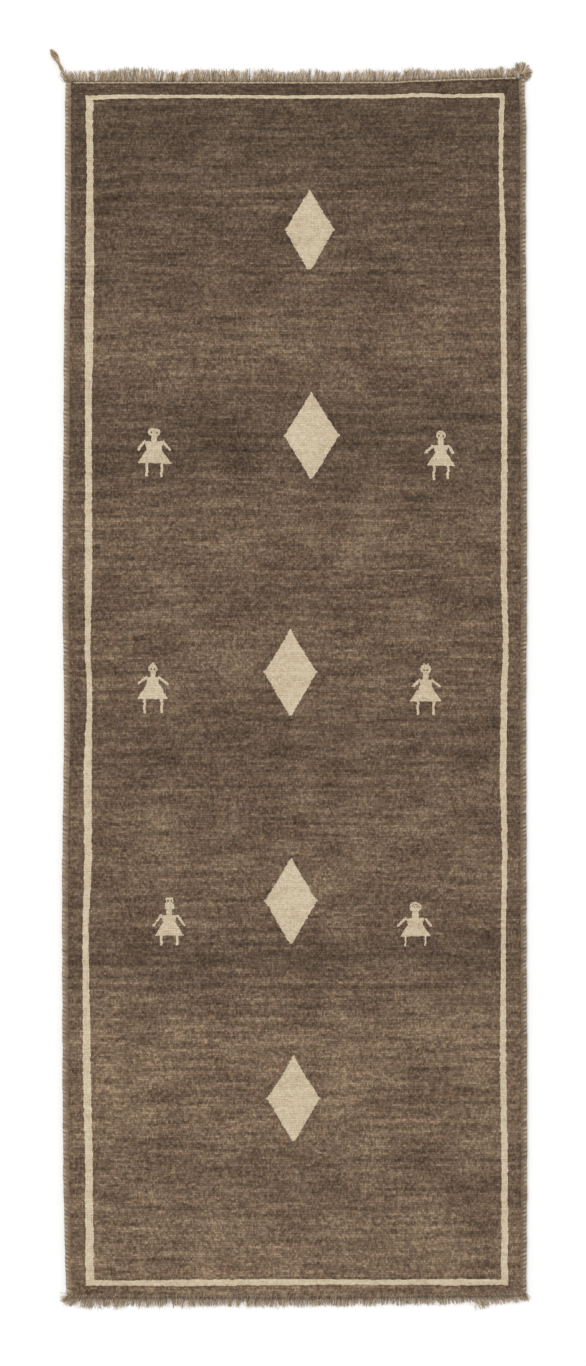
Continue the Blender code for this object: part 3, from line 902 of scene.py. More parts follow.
@dataclass(frozen=True)
class SpunYarn(WoolFinish):
    """Undyed yarn, its shade uneven from thread to thread, with painted shade down among its roots."""

    name: str = "undyed_warp_yarn"
    dark: str = "#6f5d4b"
    middle: str = "#a8967f"
    light: str = "#cbbca3"
    # The colour of the painted shade down among the roots.
    root: str = "#4e4033"
    thread: float = 420.0
    strand_weight: float = 0.45

    def make(self) -> bpy.types.Material:
        """The material of the fringes, the tuft, the cord or the twined row."""
        material, tree, shader = self.start(self.name)
        coords = add_node(tree, "TexCoord").outputs["Object"]
        slub = add_node(
            tree, "TexNoise", {"Vector": coords, "Scale": self.thread, "Detail": 1.0, "Roughness": 0.5}
        ).outputs["Fac"]
        fibre = add_node(
            tree, "TexNoise", {"Vector": coords, "Scale": 2400.0, "Detail": 2.0, "Roughness": 0.6}
        ).outputs["Fac"]
        strand = add_node(tree, "Attribute", attribute_name="shade").outputs["Fac"]
        tone = add_node(tree, "Math", {0: slub, 1: 0.4}, operation="MULTIPLY").outputs[0]
        tone = add_node(tree, "Math", {0: fibre, 1: 0.3, 2: tone}, operation="MULTIPLY_ADD").outputs[0]
        tone = add_node(
            tree, "Math", {0: strand, 1: self.strand_weight, 2: tone}, operation="MULTIPLY_ADD"
        ).outputs[0]
        # The tone is about 0.35 and half the strand's share in the middle.
        middle, spread = 0.35 + self.strand_weight / 2, 0.27
        stops = ((middle - spread, self.dark), (middle, self.middle), (middle + spread, self.light))
        spun = ramp(tree, tone, stops)
        # The root attribute paints shade onto the yarn, mixing it towards the root colour.
        painted_root_shade = add_node(tree, "Attribute", attribute_name="root").outputs["Fac"]
        colour = add_node(
            tree, "Mix", {"Factor": painted_root_shade, 6: spun, 7: linear(self.root)}, data_type="RGBA"
        ).outputs[2]
        self.finish(tree, shader, colour, fibre, 0.0004)
        return material


# The knotted body


@dataclass
class KnottedPile:
    """The pile of the rug, one face of its mesh for each knot or pair of knots."""

    outline: RugOutline
    columns: int = 140
    rows: int = 508
    knots_in_a_cell: int = 2
    thickness: float = 0.0120
    unevenness: float = 0.0014
    tuft_relief: float = 0.0009
    tuft_lean: float = 0.00045
    side_insets: tuple[float, float, float] = (0.0, -0.0026, 0.0008)
    end_insets: tuple[float, float, float] = (0.0, -0.0008, 0.0012)
    rim_heights: tuple[float, float, float] = (0.0090, 0.0104, 0.0114)
    rim_angle: float = 75.0
    row_wander: float = 0.00050
    column_wander: float = 0.00035
    row_shade: float = 0.030
    spare: float = 0.0045
    seed: int = 11
    line: BorderLine = field(default_factory=BorderLine)

    def _near_lozenge_or_figure(self, u: np.ndarray, v: np.ndarray) -> np.ndarray:
        """Whether cells lie at the edge of a lozenge or in the rectangle of a figure."""
        x, y = self._lay(u, v)
        near = np.zeros(x.shape, dtype=bool)
        for lozenge in LOZENGES:
            near |= lozenge.edge(x, y, self.spare)
        for figure in FIGURES:
            near |= figure.near(x, y, self.spare)
        return near

    def _by_a_head(self, u: np.ndarray, v: np.ndarray) -> np.ndarray:
        """Whether cells lie in the rectangle of a figure's head."""
        x, y = self._lay(u, v)
        near = np.zeros(x.shape, dtype=bool)
        for figure in FIGURES:
            near |= figure.by_the_head(x, y)
        return near

    def _cream(self, u: np.ndarray, v: np.ndarray) -> np.ndarray:
        """Whether cells are of cream wool."""
        x, y = self._lay(u, v)
        cream = self.line.band(u, v)
        for lozenge in LOZENGES:
            cream |= lozenge.band(x, y, 0.0)
        for figure in FIGURES:
            cream |= figure.cream(x, y)
        return cream

    def _lay(self, u: np.ndarray, v: np.ndarray) -> tuple[np.ndarray, np.ndarray]:
        """X and Y for places on the grid counted in cells, which bends with the rug and its line."""
        outline, line = self.outline, self.line
        rings = np.arange(len(self.rim_heights))
        y = (v / self.rows - 0.5) * outline.length
        left, right = outline.wall(Hand.LEFT, y), outline.wall(Hand.RIGHT, y)
        sides = [table_at(SIDE_LINES, "along", name, y) for name in SideLine._fields[1:]]
        values = [*(left + inset for inset in self.side_insets), *sides]
        values += [right - inset for inset in reversed(self.side_insets)]
        x = blend(u, (*rings, *line.left, *line.right, *(self.columns - rings[::-1])), values)
        bottom, top = outline.bottom(x), outline.top(x)
        names = ("bottom_outer", "bottom_inner", "top_inner", "top_outer")
        ends = [table_at(END_LINES, "across", name, x) for name in names]
        values = [*(bottom + inset for inset in self.end_insets), *ends]
        values += [top - inset for inset in reversed(self.end_insets)]
        return x, blend(v, (*rings, *line.bottom, *line.top, *(self.rows - rings[::-1])), values)

    def _height(self, grid: np.ndarray, x: np.ndarray, y: np.ndarray) -> np.ndarray:
        """How high the pile stands, shorn a little unevenly and rounded over at its rim."""
        lift = (
            0.25 * np.sin(21.0 * x + 9.0 * y + 0.6)
            + 0.25 * np.sin(21.0 * x - 9.0 * y + 1.4)
            + 0.30 * np.sin(47.0 * x - 13.0 * y)
            + 0.20 * np.sin(8.0 * x + 37.0 * y + 1.1)
        )
        top = self.thickness - self.unevenness * (1.0 - lift) / 2
        ring = np.minimum(
            np.minimum(grid[:, 0], self.columns - grid[:, 0]), np.minimum(grid[:, 1], self.rows - grid[:, 1])
        )
        rim = np.interp(ring, range(len(self.rim_heights)), self.rim_heights)
        share = np.clip(ring - len(self.rim_heights) + 1.0, 0.0, 1.0)
        return rim + (top - rim) * share

    def _grid(self) -> bpy.types.Object:
        """A flat grid of cells, cut finer where motifs lie."""
        deselect_all()
        bpy.ops.mesh.primitive_grid_add(x_subdivisions=self.columns, y_subdivisions=self.rows, size=2.0)
        obj = bpy.context.active_object
        cells = np.array((self.columns, self.rows, 0.0))
        place_points(obj.data, (points_of(obj.data) + 1.0) / 2 * cells)
        bpy.ops.object.mode_set(mode="EDIT")
        bpy.ops.mesh.select_mode(type="EDGE")
        self._cut(obj, self._near_lozenge_or_figure, across=True, along=True)
        self._cut(obj, lambda _, v: self.line.by_the_ends(v), across=False, along=True)
        self._cut(obj, self._near_lozenge_or_figure, across=True, along=False)
        self._cut(obj, self._by_a_head, across=True, along=True)
        bpy.ops.object.mode_set(mode="OBJECT")
        return obj

    def _cut(
        self,
        obj: bpy.types.Object,
        chosen: Callable[[np.ndarray, np.ndarray], np.ndarray],
        across: bool,
        along: bool,
    ) -> None:
        """Halves the chosen cells.

        Args:
            obj: The grid, in edit mode.
            chosen: Says which cells are chosen, from their middles counted in cells.
            across: Whether there come to be two cells where there was one across the rug.
            along: Whether there come to be two cells where there was one along the rug.
        """
        bpy.ops.mesh.select_all(action="DESELECT")
        bm = bmesh.from_edit_mesh(obj.data)
        middles = np.array([face.calc_center_median()[:] for face in bm.faces])
        for face, picked in zip(bm.faces, chosen(middles[:, 0], middles[:, 1])):
            if picked and len(face.verts) == 4:
                for edge in face.edges:
                    start, end = edge.verts
                    if across if abs(start.co.y - end.co.y) < abs(start.co.x - end.co.x) else along:
                        edge.select = True
        bmesh.update_edit_mesh(obj.data)
        bpy.ops.mesh.subdivide(number_cuts=1, quadcorner="INNERVERT")

    def _close(self, obj: bpy.types.Object) -> None:
        """Takes the rim down to the floor and closes the underside."""
        bpy.ops.object.mode_set(mode="EDIT")
        bpy.ops.mesh.select_all(action="DESELECT")
        bpy.ops.mesh.select_non_manifold()
        bpy.ops.mesh.extrude_edges_move()
        bm = bmesh.from_edit_mesh(obj.data)
        for vert in bm.verts:
            if vert.select:
                vert.co.z = 0.0
        bmesh.update_edit_mesh(obj.data)
        bpy.ops.mesh.edge_face_add()
        bpy.ops.mesh.select_all(action="SELECT")
        bpy.ops.mesh.normals_make_consistent(inside=False)
        bpy.ops.object.mode_set(mode="OBJECT")

    def _knot_map(self, mesh: bpy.types.Mesh, grid: np.ndarray) -> None:
        """Stores a UV map that counts knots across and rows along."""
        set_uv(mesh, "knots", grid[corners_of(mesh)][:, :2] * np.array((self.knots_in_a_cell, 1.0)))

    def _band(self, u: np.ndarray, v: np.ndarray) -> np.ndarray:
        """How light the wool is in each cell's band of the field, beside its average."""
        x, y = self._lay(u, v)
        wander = 0.006 * np.sin(9.0 * x + 3.0) + 0.005 * np.sin(23.0 * x)
        level = table_at(ABRASH, "along", "level", y + wander)
        level = level - 0.02 * np.clip(-y, 0.0, 1.0) * np.clip(x / 0.3, -1.0, 1.0)
        level = level - 0.035 * np.clip((-0.350 - x) / 0.015, 0.0, 1.0)
        row_shades = np.random.default_rng(self.seed).normal(0.0, self.row_shade, self.rows)
        level = level + row_shades[np.clip(v.astype(int), 0, self.rows - 1)]
        return level**2.2

    def colour_faces(self, mesh: bpy.types.Mesh, u: np.ndarray, v: np.ndarray) -> None:
        """Stores how cream each corner of a face is, and how light the face's band of the field is.

        Args:
            mesh: The pile's mesh.
            u: The faces' middles across the rug, counted in cells.
            v: The faces' middles along the rug, counted in cells.
        """
        corners = corners_of(mesh)
        sides = np.empty(len(mesh.polygons), dtype=np.int64)
        mesh.polygons.foreach_get("loop_total", sides)
        own = np.repeat(self._cream(u, v).astype(float), sides)
        around = np.bincount(corners, own) / np.bincount(corners)
        set_float(mesh, "cream", "CORNER", 0.5 * own + 0.5 * around[corners])
        set_float(mesh, "band", "FACE", self._band(u, v))

    def colour_points(self, mesh: bpy.types.Mesh, u: np.ndarray, v: np.ndarray) -> None:
        """Stores for each point whether it is cream, and how light its band of the field is."""
        set_float(mesh, "cream", "POINT", self._cream(u, v))
        set_float(mesh, "band", "POINT", self._band(u, v))

    def stand(self, u: np.ndarray, v: np.ndarray) -> np.ndarray:
        """The points of the pile's even surface, for places on the grid counted in cells."""
        x, y = self._lay(u, v)
        return np.stack((x, y, self._height(np.stack((u, v), axis=1), x, y)), axis=1)

    def build(self, finish: bpy.types.Material) -> bpy.types.Object:
        """Builds and dresses the pile.

        Args:
            finish: The wool of the pile.

        Returns:
            The pile, which stands for the solid of the same name.
        """
        rng = np.random.default_rng(self.seed)
        obj = self._grid()
        centres = np.empty(len(obj.data.polygons) * 3)
        obj.data.polygons.foreach_get("center", centres)
        u, v, _ = centres.reshape(-1, 3).T
        self.colour_faces(obj.data, u, v)
        grid = points_of(obj.data)
        x, y = self._lay(grid[:, 0], grid[:, 1])
        z = self._height(grid, x, y)
        # The points at the very edge stay in line, so that the rim is even.
        inner = (grid[:, 0] > 0.5) & (grid[:, 0] < self.columns - 0.5)
        inner &= (grid[:, 1] > 0.5) & (grid[:, 1] < self.rows - 0.5)
        z = z - inner * rng.random(len(z)) ** 1.5 * self.tuft_relief
        # Whole rows and whole warps stand a little out of line, and each tuft leans a little of itself.
        rows = rng.normal(0.0, self.row_wander, 2 * self.rows + 1)
        columns = rng.normal(0.0, self.column_wander, self.columns + 1)
        x = x + inner * np.interp(2.0 * grid[:, 1], np.arange(len(rows)), rows)
        y = y + inner * np.interp(grid[:, 0], np.arange(len(columns)), columns)
        x = x + inner * rng.uniform(-1.0, 1.0, len(x)) * self.tuft_lean
        y = y + inner * rng.uniform(-1.0, 1.0, len(y)) * self.tuft_lean
        place_points(obj.data, np.stack((x, y, z), axis=1))
        self._knot_map(obj.data, grid)
        self._close(obj)
        pick(obj)
        # Smooth over the knots, but not round the rim, whose underside would darken the top beside it.
        bpy.ops.object.shade_smooth_by_angle(angle=math.radians(self.rim_angle))
        settle(obj, "knotted_pile", finish)
        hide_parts("pile")
        return obj


@dataclass
class PileNap:
    """The cut ends of the knots, which stand a little out of the pile and hang over its edges."""

    pile: KnottedPile
    part: int
    parts: int = 3
    tufts: int = 36000
    side_tufts: int = 1900
    end_tufts: int = 2000
    radius: float = 0.00090
    sunk: float = 0.0016
    least_reach: float = 0.0002
    reach: float = 0.0008
    lean: float = 0.0015
    overhang: float = 0.0030
    least_hang: float = 0.3
    droop: float = 0.4
    # How far in from the edge the extra tufts stand, and how far in the tufts still hang, both in cells.
    edge_band: tuple[float, float] = (0.1, 1.8)
    hanging_cells: float = 1.6
    foot_painted_shade: float = -0.25
    tip_painted_light: float = 0.14
    shade_spread: float = 0.22
    splay: float = 0.45
    seed: int = 40

    def _roots(self, rng: np.random.Generator) -> tuple[np.ndarray, np.ndarray]:
        """Where the tufts stand, counted in cells, with more of them along the edges."""
        pile = self.pile
        u = rng.uniform(0.0, pile.columns, self.tufts + self.side_tufts)
        v = (self.part + rng.random(len(u))) * pile.rows / self.parts
        near_side = rng.uniform(*self.edge_band, self.side_tufts)
        to_the_left = rng.random(self.side_tufts) < 0.5
        u[self.tufts :] = np.where(to_the_left, near_side, pile.columns - near_side)
        for part, from_end in ((0, 0.0), (self.parts - 1, float(pile.rows))):
            if self.part == part:
                near_end = np.abs(from_end - rng.uniform(*self.edge_band, self.end_tufts))
                u = np.concatenate((u, rng.uniform(0.0, pile.columns, self.end_tufts)))
                v = np.concatenate((v, near_end))
        return u, v

    def build(self, finish: bpy.types.Material) -> bpy.types.Object:
        """Builds and dresses a part of the nap.

        Args:
            finish: The wool of the pile.

        Returns:
            The nap.
        """
        rng = np.random.default_rng(self.seed + self.part)
        pile = self.pile
        u, v = self._roots(rng)
        count = len(u)
        root = pile.stand(u, v)
        turn = rng.uniform(0.0, math.tau, count)
        away = self.lean * rng.random(count)
        rise = self.least_reach + self.reach * rng.random(count)
        tip = root + np.stack((away * np.cos(turn), away * np.sin(turn), rise), axis=1)
        for edge, axis, way in (
            (u, 0, -1.0),
            (pile.columns - u, 0, 1.0),
            (v, 1, -1.0),
            (pile.rows - v, 1, 1.0),
        ):
            hang = np.clip(self.hanging_cells - edge, 0.0, 1.0) * self.overhang
            hang = hang * rng.uniform(self.least_hang, 1.0, count)
            tip[:, axis] += way * hang
            tip[:, 2] -= self.droop * hang
        # A tuft has three points round its foot and one at its tip, joined by three faces.
        points = np.empty((count, 4, 3))
        for corner in range(3):
            angle = turn + math.tau * corner / 3
            points[:, corner, 0] = root[:, 0] + self.radius * np.cos(angle)
            points[:, corner, 1] = root[:, 1] + self.radius * np.sin(angle)
            points[:, corner, 2] = root[:, 2] - self.sunk
        points[:, 3] = tip
        first = 4 * np.arange(count)[:, None, None]
        faces = (first + np.array(((0, 1, 3), (1, 2, 3), (2, 0, 3)))).reshape(-1, 3)
        mesh = bpy.data.meshes.new("pile_nap")
        mesh.from_pydata(points.reshape(-1, 3).tolist(), [], faces.tolist())
        pile.colour_points(mesh, np.repeat(u, 4), np.repeat(v, 4))
        # Each tuft has painted shade at its sunk foot and painted light at its tip, on top of its own random
        # tone.
        painted_depth_tones = np.array((self.foot_painted_shade, self.foot_painted_shade, self.foot_painted_shade, self.tip_painted_light))
        shades = rng.normal(0.0, self.shade_spread, count)[:, None] + painted_depth_tones
        set_float(mesh, "tuft", "POINT", shades.ravel())
        # A tuft is a soft bunch of fibres that catches the light as the pile does, so its normals lean
        # only a little away from upright.
        normals = points - root[:, None, :]
        normals[:, :, 2] = 0.0
        normals[:, 3] = 0.0
        normals = normals / self.radius * self.splay
        normals[:, :, 2] = 1.0
        knots = np.stack((u * pile.knots_in_a_cell, v), axis=1)
        set_uv(mesh, "knots", np.repeat(knots, 3 * 3, axis=0))
        obj = bpy.data.objects.new("pile_nap", mesh)
        bpy.context.collection.objects.link(obj)
        pick(obj)
        bpy.ops.object.shade_smooth()
        normals = normals / np.linalg.norm(normals, axis=2, keepdims=True)
        mesh.normals_split_custom_set_from_vertices(normals.reshape(-1, 3).tolist())
        return settle(obj, f"pile_nap_{self.part + 1}", finish)


# The overcast sides


@dataclass
class OvercastSide:
    """One long side, a flattened bundle of warps wound closely with wool."""

    outline: RugOutline
    hand: Hand
    wool: OvercastWool
    top: float
    height: float = 0.0098
    pitch: float = 0.00375
    steps_in_a_turn: int = 5
    relief: float = 0.0015
    slant: float = 1.6
    turn_wander: float = 0.10
    fullness: float = 0.85
    fullness_wander: float = 0.12
    unevenness: float = 0.0003
    fine_unevenness: float = 0.0002
    end_taper: float = 0.0060
    end_share: float = 0.45
    seed: int = 70
    # The section, as shares of the width out from the pile and of the height up from the floor.
    section: tuple[tuple[float, float], ...] = (
        (0.00, 0.00),
        (0.40, 0.00),
        (0.84, 0.00),
        (0.96, 0.12),
        (1.00, 0.34),
        (0.99, 0.54),
        (0.94, 0.72),
        (0.84, 0.87),
        (0.70, 0.96),
        (0.54, 1.00),
        (0.38, 1.00),
        (0.22, 0.98),
        (0.09, 0.93),
        (0.02, 0.82),
        (0.00, 0.50),
    )

    def build(self) -> bpy.types.Object:
        """Builds and dresses the side.

        Returns:
            The side, which stands for the solid on that side.
        """
        outline, side = self.outline, self.hand.value
        foot = float(outline.bottom(side * outline.width / 2))
        turns = round((self.top - foot) / self.pitch)
        steps = turns * self.steps_in_a_turn
        around = len(self.section)
        deselect_all()
        bpy.ops.mesh.primitive_grid_add(x_subdivisions=around, y_subdivisions=steps, size=2.0)
        obj = bpy.context.active_object
        raw = points_of(obj.data)
        ring = np.rint((raw[:, 0] + 1.0) / 2 * around).astype(int)
        station = (raw[:, 1] + 1.0) / 2 * steps
        section = np.array((*self.section, self.section[0]))
        across, up = section[ring].T
        y = foot + (self.top - foot) * station / steps
        share = np.clip((ring - 2.0) / (around - 4.0), 0.0, 1.0)
        phase = station / self.steps_in_a_turn + self.slant * share
        # The turns are pulled up tight or left slack by hand, so their spacing and fullness wander.
        rng = np.random.default_rng(self.seed + side)
        slack = rng.normal(0.0, 1.0, turns + 4)
        phase = phase + self.turn_wander * np.interp(phase, np.arange(turns + 4), slack)
        fullness = self.fullness + self.fullness_wander * np.interp(phase, np.arange(turns + 4) + 0.5, slack)
        crest = np.sqrt(np.clip(1.0 - (2.0 * (phase % 1.0) - 1.0) ** 2, 0.0, 1.0))
        swell = np.sin(np.pi * share) ** 0.5 * self.relief * (crest * fullness - 0.6)
        unevenness = self.unevenness * np.sin(71.0 * y + side) + self.fine_unevenness * np.sin(163.0 * y)
        from_end = np.clip(np.minimum(y - foot, self.top - y) / self.end_taper, 0.0, 1.0)
        taper = self.end_share + (1.0 - self.end_share) * np.sqrt(1.0 - (1.0 - from_end) ** 2)
        width = (outline.selvedge_width + unevenness) * taper
        inner = outline.wall(self.hand, y) + side * outline.fit_gap
        middle_x, middle_z = 0.5, 0.4
        reach = np.hypot(across - middle_x, up - middle_z)
        x = inner + side * (across * width + swell * taper * (across - middle_x) / reach)
        lift = np.where(up > 0.05, swell * (up - middle_z) / reach, 0.0)
        z = (up * self.height + lift) * taper
        place_points(obj.data, np.stack((x, y, np.maximum(z, 0.0)), axis=1))
        self._map_turns(obj.data, phase, 1.0 - share)
        self._close(obj)
        pick(obj)
        bpy.ops.object.shade_smooth()
        name = "left" if self.hand is Hand.LEFT else "right"
        settle(obj, "overcast_side_" + name, self.wool.make())
        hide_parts("selvedge_" + name)
        return obj

    def _map_turns(self, mesh: bpy.types.Mesh, phase: np.ndarray, outward: np.ndarray) -> None:
        """Stores a UV map of turns along the side, and how far out over it a point lies."""
        corners = corners_of(mesh)
        set_uv(mesh, "turns", np.stack((phase[corners], outward[corners]), axis=1))

    def _close(self, obj: bpy.types.Object) -> None:
        """Joins the wound sheet's long edges and closes its two ends."""
        bpy.ops.object.mode_set(mode="EDIT")
        bpy.ops.mesh.select_all(action="SELECT")
        bpy.ops.mesh.remove_doubles(threshold=0.00002)
        bpy.ops.mesh.select_all(action="DESELECT")
        bpy.ops.mesh.select_non_manifold()
        bpy.ops.mesh.edge_face_add()
        bpy.ops.mesh.select_all(action="DESELECT")
        bpy.ops.mesh.select_non_manifold()
        bpy.ops.mesh.fill_holes(sides=0)
        bpy.ops.mesh.select_all(action="SELECT")
        bpy.ops.mesh.normals_make_consistent(inside=False)
        bpy.ops.object.mode_set(mode="OBJECT")


# The twined row


@dataclass
class TwinedRow:
    """Two light yarns twined across the warps to lock the pile at the top end."""

    outline: RugOutline
    yarn_radius: float = 0.00150
    twine_radius: float = 0.00120
    turn: float = 0.0120
    steps_in_a_turn: int = 10
    axis_height: float = 0.0046
    offset: float = 0.0030

    def build(self) -> bpy.types.Object:
        """Builds and dresses the row.

        Returns:
            The row, which stands for the solid of the twined row.
        """
        outline = self.outline
        start = float(outline.wall(Hand.LEFT, outline.length / 2)) + self.yarn_radius
        end = float(outline.wall(Hand.RIGHT, outline.length / 2)) - self.yarn_radius
        steps = round((end - start) / self.turn * self.steps_in_a_turn)
        yarns: list[Fibre] = []
        for yarn in range(2):
            points: list[Point] = []
            for i in range(steps + 1):
                x = start + (end - start) * i / steps
                angle = math.tau * i / self.steps_in_a_turn + math.pi * yarn
                y = float(outline.top(x)) + self.offset + self.twine_radius * math.cos(angle)
                points.append((x, y, self.axis_height + self.twine_radius * math.sin(angle)))
            yarns.append((points, [self.yarn_radius] * len(points)))
        obj = spin_fibres("twined_row", yarns, 1, np.array([0.35, 0.65]))
        set_float(obj.data, "root", "POINT", np.zeros(len(obj.data.vertices)))
        finish = SpunYarn(
            name="undyed_twining_yarn", dark="#8a745b", middle="#bca88b", light="#e0d1b6", thread=260.0
        )
        settle(obj, "twined_row", finish.make())
        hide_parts("end_twining")
        return obj


# The fringes


class Lie(NamedTuple):
    """How a fringe lies at a place across the rug: its slant to the right in degrees, and its length."""

    across: float
    slant: float
    length: float


TOP_LIE = (
    Lie(across=-0.392, slant=-6, length=0.0190),
    Lie(across=-0.330, slant=8, length=0.0200),
    Lie(across=-0.285, slant=-7, length=0.0230),
    Lie(across=-0.215, slant=12, length=0.0195),
    Lie(across=-0.130, slant=-5, length=0.0205),
    Lie(across=-0.060, slant=10, length=0.0200),
    Lie(across=0.030, slant=16, length=0.0195),
    Lie(across=0.120, slant=4, length=0.0195),
    Lie(across=0.195, slant=18, length=0.0200),
    Lie(across=0.270, slant=-6, length=0.0160),
    Lie(across=0.330, slant=12, length=0.0160),
    Lie(across=0.383, slant=4, length=0.0170),
)
BOTTOM_LIE = (
    Lie(across=-0.396, slant=-44, length=0.0170),
    Lie(across=-0.380, slant=-24, length=0.0210),
    Lie(across=-0.340, slant=-12, length=0.0210),
    Lie(across=-0.260, slant=-16, length=0.0185),
    Lie(across=-0.150, slant=3, length=0.0170),
    Lie(across=-0.060, slant=-5, length=0.0175),
    Lie(across=0.040, slant=6, length=0.0170),
    Lie(across=0.130, slant=-6, length=0.0155),
    Lie(across=0.230, slant=10, length=0.0150),
    Lie(across=0.298, slant=22, length=0.0160),
    Lie(across=0.309, slant=34, length=0.0270),
    Lie(across=0.320, slant=32, length=0.0240),
    Lie(across=0.336, slant=24, length=0.0160),
    Lie(across=0.380, slant=20, length=0.0150),
    Lie(across=0.399, slant=34, length=0.0130),
)


class RugEnd(Enum):
    """An end of the rug, with its direction along Y."""

    TOP = 1
    BOTTOM = -1


@dataclass
class Fringe:
    """Cut warp ends, short and frayed, lying on the floor beyond an end of the rug."""

    outline: RugOutline
    end: RugEnd
    lie: tuple[Lie, ...]
    first: float
    last: float
    root_offset: float
    seed: int
    root_height: float
    strays: int
    stray_inward: float = 0.0065
    yarns: int = 530
    hairs: int = 1300
    steps: int = 7
    yarn_radius: float = 0.00066
    hair_radius: float = 0.00023
    wave: float = 0.00060
    clump: float = 0.0056
    clump_sway: float = 10.0
    clump_gather: float = 0.85
    tuck: float = 0.0026
    # How strong the painted shade at the roots is, and how far out from the root line it reaches.
    root_painted_shade: float = 0.40
    painted_shade_reach: float = 0.0030
    backing_steps: int = 60
    backing_set: float = 0.0012
    backing_radius: float = 0.0011

    def _root_line(self, x: float) -> float:
        """Y of the line that the warp ends come out of."""
        edge = self.outline.top(x) if self.end is RugEnd.TOP else self.outline.bottom(x)
        return float(edge) + self.end.value * self.root_offset

    def _clumps(self, rng: np.random.Generator) -> np.ndarray:
        """For each clump that the warp ends gather in, its own slant and its share of the length."""
        count = math.ceil((self.last - self.first) / self.clump) + 2
        return np.stack((rng.normal(0.0, self.clump_sway, count), rng.uniform(0.80, 1.10, count)), axis=1)

    def _fibre(
        self, rng: np.random.Generator, clumps: np.ndarray, x: float, radius: float, fray: float
    ) -> Fibre:
        """One warp end or hair.

        Args:
            rng: The source of its unevenness.
            clumps: The clumps' slants and shares of the length.
            x: Where across the rug its root lies.
            radius: Its thickness at the root, as a radius.
            fray: How far it strays, from 0 to 1.

        Returns:
            Its points and radii.
        """
        clump_number = max(math.floor((x - self.first) / self.clump), 0)
        clump_x = self.first + (clump_number + 0.5) * self.clump
        gather = self.clump_gather * (clump_x - x) * (1.0 - 0.6 * fray)
        sway, share_of_length = clumps[clump_number]
        slant = float(table_at(self.lie, "across", "slant", x)) + float(sway)
        slant = math.radians(slant + rng.normal(0.0, 5.0 + 20.0 * fray))
        length = float(table_at(self.lie, "across", "length", x)) * float(share_of_length)
        length *= rng.uniform(0.84, 1.06) + 0.22 * fray * rng.random()
        length += self.tuck
        curl = rng.normal(0.0, 0.35 + 0.5 * fray)
        root_z = rng.uniform(0.0004, self.root_height)
        tip_z = rng.uniform(0.0004, 0.0016 + 0.0020 * fray)
        hump = rng.uniform(0.0, 0.0012)
        # The yarn keeps the crimp of the weave it was cut from.
        crimp = self.wave * (0.6 + 0.7 * fray) * rng.uniform(0.4, 1.0)
        crimps, first_crimp = rng.uniform(1.2, 2.4), rng.uniform(0.0, math.tau)
        steps = self.steps
        px, py = x, self._root_line(x) - self.end.value * self.tuck
        points: list[Point] = []
        for i in range(steps + 1):
            share = i / steps
            heading = slant + curl * (share - 0.3)
            turn = first_crimp + math.tau * crimps * share
            aside = crimp * math.sqrt(share) * math.sin(turn)
            lift = root_z + (tip_z - root_z) * share + hump * math.sin(math.pi * share)
            lift += 0.5 * crimp * math.cos(turn)
            points.append(
                (
                    px + aside * math.cos(heading),
                    py - self.end.value * aside * math.sin(heading),
                    max(lift, radius),
                )
            )
            px += length / steps * math.sin(heading) + gather * share / steps * 1.4
            py += self.end.value * length / steps * math.cos(heading)
        taper = [radius * (1.0 - 0.55 * (i / steps) ** 2) for i in range(steps + 1)]
        return points, taper

    def _stray(self, rng: np.random.Generator, x: float) -> Fibre:
        """A warp end that comes up through the last rows of the pile and lies over its rim."""
        out = self.end.value
        edge = self._root_line(x) - out * self.root_offset
        slant = math.radians(float(table_at(self.lie, "across", "slant", x)) + rng.normal(0.0, 16.0))
        inward = rng.uniform(0.0005, self.stray_inward)
        reach = rng.uniform(0.0030, 0.0085)
        low = max(0.0080 - reach * rng.uniform(0.5, 0.9), 0.0010)
        run = (
            (-inward, 0.0104),
            (-0.3 * inward - 0.0008, 0.0118),
            (0.0012, 0.0109),
            (0.0028, 0.0080),
            (0.0028 + reach, low),
        )
        points = [(x + (away + inward) * math.sin(slant), edge + out * away, z) for away, z in run]
        return points, [0.00036, 0.00042, 0.00042, 0.00036, 0.00018]

    def _backing(self) -> bpy.types.Object:
        """The narrow strip of plain weave under the warp ends, as a low bar."""
        points = []
        for i in range(self.backing_steps + 1):
            x = self.first + (self.last - self.first) * i / self.backing_steps
            points.append((x, self._root_line(x) - self.end.value * self.backing_set, self.backing_set))
        # The strip takes the darkest tone of the yarn and the full painted root shade, so it is partly
        # painted shade in the gap at the roots of the warp ends.
        return spin_fibres("backing", [(points, [self.backing_radius] * len(points))], 1, np.zeros(1))

    def build(self) -> bpy.types.Object:
        """Builds and dresses the fringe.

        Returns:
            The fringe, which stands for the solid at that end.
        """
        rng = np.random.default_rng(self.seed)
        yarn_places = np.linspace(self.first, self.last, self.yarns) + rng.normal(0.0, 0.0004, self.yarns)
        hair_places = rng.uniform(self.first, self.last, self.hairs)
        clumps = self._clumps(rng)
        yarns = [self._fibre(rng, clumps, float(x), self.yarn_radius, 0.1) for x in yarn_places]
        hairs = [self._fibre(rng, clumps, float(x), self.hair_radius, 1.0) for x in hair_places]
        bundles = [
            spin_fibres("warps", yarns, 0, rng.random(self.yarns)),
            spin_fibres("hairs", hairs, 0, 0.35 + 0.65 * rng.random(self.hairs)),
            self._backing(),
        ]
        if self.strays:
            places = rng.uniform(self.first, self.last, self.strays)
            strays = [self._stray(rng, float(x)) for x in places]
            bundles.append(spin_fibres("strays", strays, 0, rng.random(self.strays)))
        obj = join(bundles)
        points = points_of(obj.data)
        edge = np.array([self._root_line(x) for x in points[:, 0]])
        reach = (points[:, 1] - edge) * self.end.value
